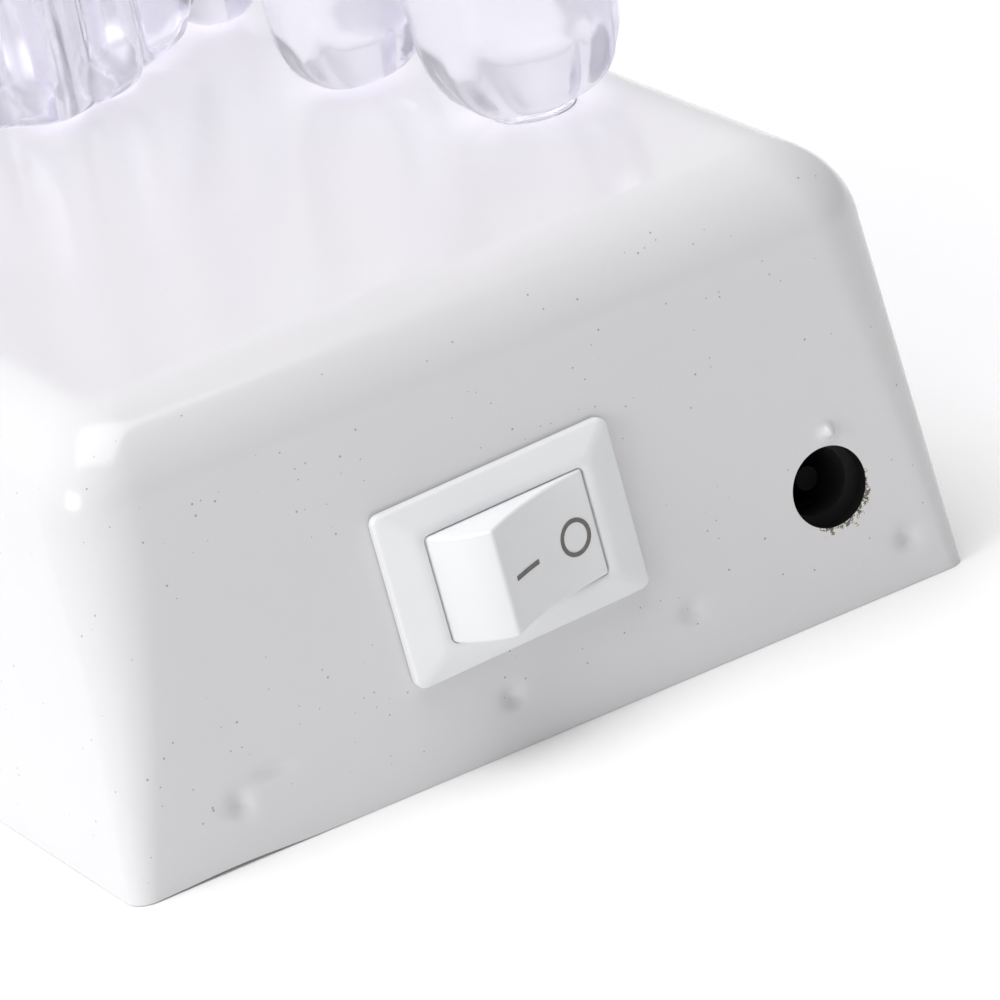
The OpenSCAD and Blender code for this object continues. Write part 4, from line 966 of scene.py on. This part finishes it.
def featherPart(feather, rootThick, barbs):  # bent path, drop-shaped width, a quill and slanted barbs
    root, bend, tip, tipRadius = (np.array(value, float) for value in feather)
    cols = 72
    t = np.linspace(0, 1, 90)
    path = ((1 - t) ** 2)[:, None] * root + (2 * t * (1 - t))[:, None] * bend + (t ** 2)[:, None] * tip
    share = wing["rootShare"]
    wide = tipRadius * (share + (1 - share) * np.sin(np.pi / 2 * t)) * (1 + wing["swell"] * np.sin(np.pi * t))
    thick = tipRadius * (rootThick + (1 - rootThick) * t ** 3)
    across = np.cos(around(cols))[None, :]
    fade = np.clip((0.82 - t) / 0.3, 0, 1)[:, None]
    quill = wing["quill"] * hump(across, 0, 0.1)
    slant = wing["barb"] * np.cos(2 * np.pi * (barbs * t[:, None] - 1.6 * np.abs(across)))
    relief = 1 + fade * (quill + slant * (1 - 0.5 * np.abs(across)))
    rings = ovalTube(path, wide[:, None] * np.ones((1, cols)), thick[:, None] * relief, cols)
    power = wing["blunt"] if tip[2] < wing["bluntBelow"] else 2.0
    end = ballEnd(tip, tip - bend, float(tipRadius), cols, power, wing["tipRibs"])
    rings = np.concatenate([rings, end])
    rings[..., 2] = np.maximum(rings[..., 2], figure["seat"])
    return tubePart(rings)


def archPart():  # leading edge of the wing: a tapered tube with a row of soft scallops
    t = np.linspace(0, 1, 150)
    path = through(t, np.linspace(0, 1, len(archKnots)), archKnots)
    radius = wing["archRadius"] * (1 - 0.25 * t) * np.clip(np.minimum(t, 1 - t) / 0.03, 0.3, 1) ** 0.5
    wave = np.abs(np.sin(np.pi * wing["scallops"] * t))[:, None] * (0.6 + 0.4 * np.sin(around(72)[None, :]))
    scallop = 1 + wing["scallop"] * wave
    return tubePart(ovalTube(path, radius[:, None] * scallop, 0.9 * radius[:, None] * scallop, 72))


def seated(part):  # nothing of the wing passes the plane where it meets the back
    points, quads, caps = part
    root = (points[:, 0] < 16) & (points[:, 2] > 75) & (points[:, 2] < 99)
    kept = points.copy()
    kept[:, 1] = np.where(root, np.maximum(points[:, 1], figure["seatPlane"] + figure["seat"]), points[:, 1])
    return kept, quads, caps


def makeWing(name, side, node):
    rows = zip((longFeathers, shortFeathers), wing["rootThick"], wing["barbs"])
    parts = [featherPart(feather, thick, barbs) for row, thick, barbs in rows for feather in row]
    parts = [seated(part) for part in parts + [archPart()]]
    points, quads, caps = rodPart(spigots["wingRadius"], -spigots["long"], 8.0, 64)
    parts.append((points + [*spigots["wingFoot"], 0], quads, caps))
    if side < 0:
        parts = [mirrorPart(part) for part in parts]
    return castPiece(name, parts, wing["voxel"], (side,), node)


rightWing = makeWing("rightWing", 1, "right_wing")
leftWing = makeWing("leftWing", -1, "left_wing")
print("wings:", len(rightWing.data.polygons), "and", len(leftWing.data.polygons), "faces")


# The other CAD nodes keep their shape and take a finish; the socket pin and contact take near-black painted
# shade
nodeFinishes = {
    "bottom_plate": plateSteel, "plate_posts": plateSteel, "plate_screws": brightZinc,
    "switch_plunger": rockerWhite, "switch_spring": springSteel, "contact_lever": contactBrass,
    "common_terminal": contactBrass, "load_terminal": contactBrass, "socket_body": socketBlack,
    "socket_pin": socketPaintedShade, "socket_contact": socketPaintedShade, "socket_nut": brightZinc,
    "socket_bracket": plateSteel, "led_board": boardWhite, "led_emitters": emitterLens,
    "led_resistors": chipBlack, "board_standoffs": contactBrass, "board_screws": brightZinc,
    "supply_wire": wireRed, "switched_wire": wireRed, "return_wire": wireBlack, "wing_dowels": clearPin,
    "gown_retainer": springSteel, "wing_retainers": springSteel}
for nodeName, finish in nodeFinishes.items():
    nodes[nodeName].data.materials.clear()
    nodes[nodeName].data.materials.append(finish)
print("finishes on", len(nodeFinishes), "CAD nodes")


# Floor and soft studio light
studio = dict(floor=4.0, floorLight=(0.97, 0.97, 0.97), floorDark=(0.9603, 0.9603, 0.9603), sky=0.88,
              skyDark=0.15, skyEdges=(-0.4, 0.5), skyTowards=(0.75, 0.66, 0.0), aim=(0.0, 0.0, 0.03),
              key=dict(place=(0.5, -1.55, 0.5), size=0.55, power=6.6),
              top=dict(place=(0.2, -0.2, 1.6), size=1.3, power=18.0))


def makeFloor():
    span = np.linspace(-studio["floor"] / 2, studio["floor"] / 2, 9) / mm
    x, y = np.meshgrid(span, span, indexing="xy")
    floor = makeObject("floor", [sheetPart(np.stack([x, y, np.zeros_like(x)], axis=-1))])
    floor.data.materials.append(makeFinish("floorPaper", studio["floorLight"], studio["floorDark"], (0.7, 0.8),
                                           scale=20.0, bump=0.02))


def areaLight(name, place, size, power):
    data = bpy.data.lights.new(name, "AREA")
    data.size = size
    data.energy = power
    light = bpy.data.objects.new(name, data)
    back = unit(np.array(place) - studio["aim"])
    right = unit(np.cross([0.0, 0.0, 1.0], back))
    pose = np.eye(4)
    pose[:3, :4] = np.stack([right, np.cross(back, right), back, place], axis=1)
    light.matrix_world = Matrix(pose.tolist())
    bpy.context.collection.objects.link(light)


def makeStudio():
    makeFloor()
    areaLight("keyLight", **studio["key"])
    areaLight("topLight", **studio["top"])
    world = bpy.data.worlds.new("studioWorld")
    world.use_nodes = True
    tree = world.node_tree
    back = tree.nodes["Background"]
    back.inputs["Color"].default_value = (1.0, 1.0, 1.0, 1.0)
    where = addNode(tree, "ShaderNodeTexCoord")
    towards = addNode(tree, "ShaderNodeVectorMath", {"operation": "DOT_PRODUCT"})
    towards.inputs[1].default_value = studio["skyTowards"]
    tree.links.new(where.outputs["Generated"], towards.inputs[0])
    level = rangeNode(tree, towards.outputs["Value"], studio["sky"], studio["skyDark"], *studio["skyEdges"])
    tree.links.new(level, back.inputs["Strength"])
    bpy.context.scene.world = world
    bpy.context.scene.view_settings.view_transform = "Standard"


makeStudio()
print("floor and lights placed")
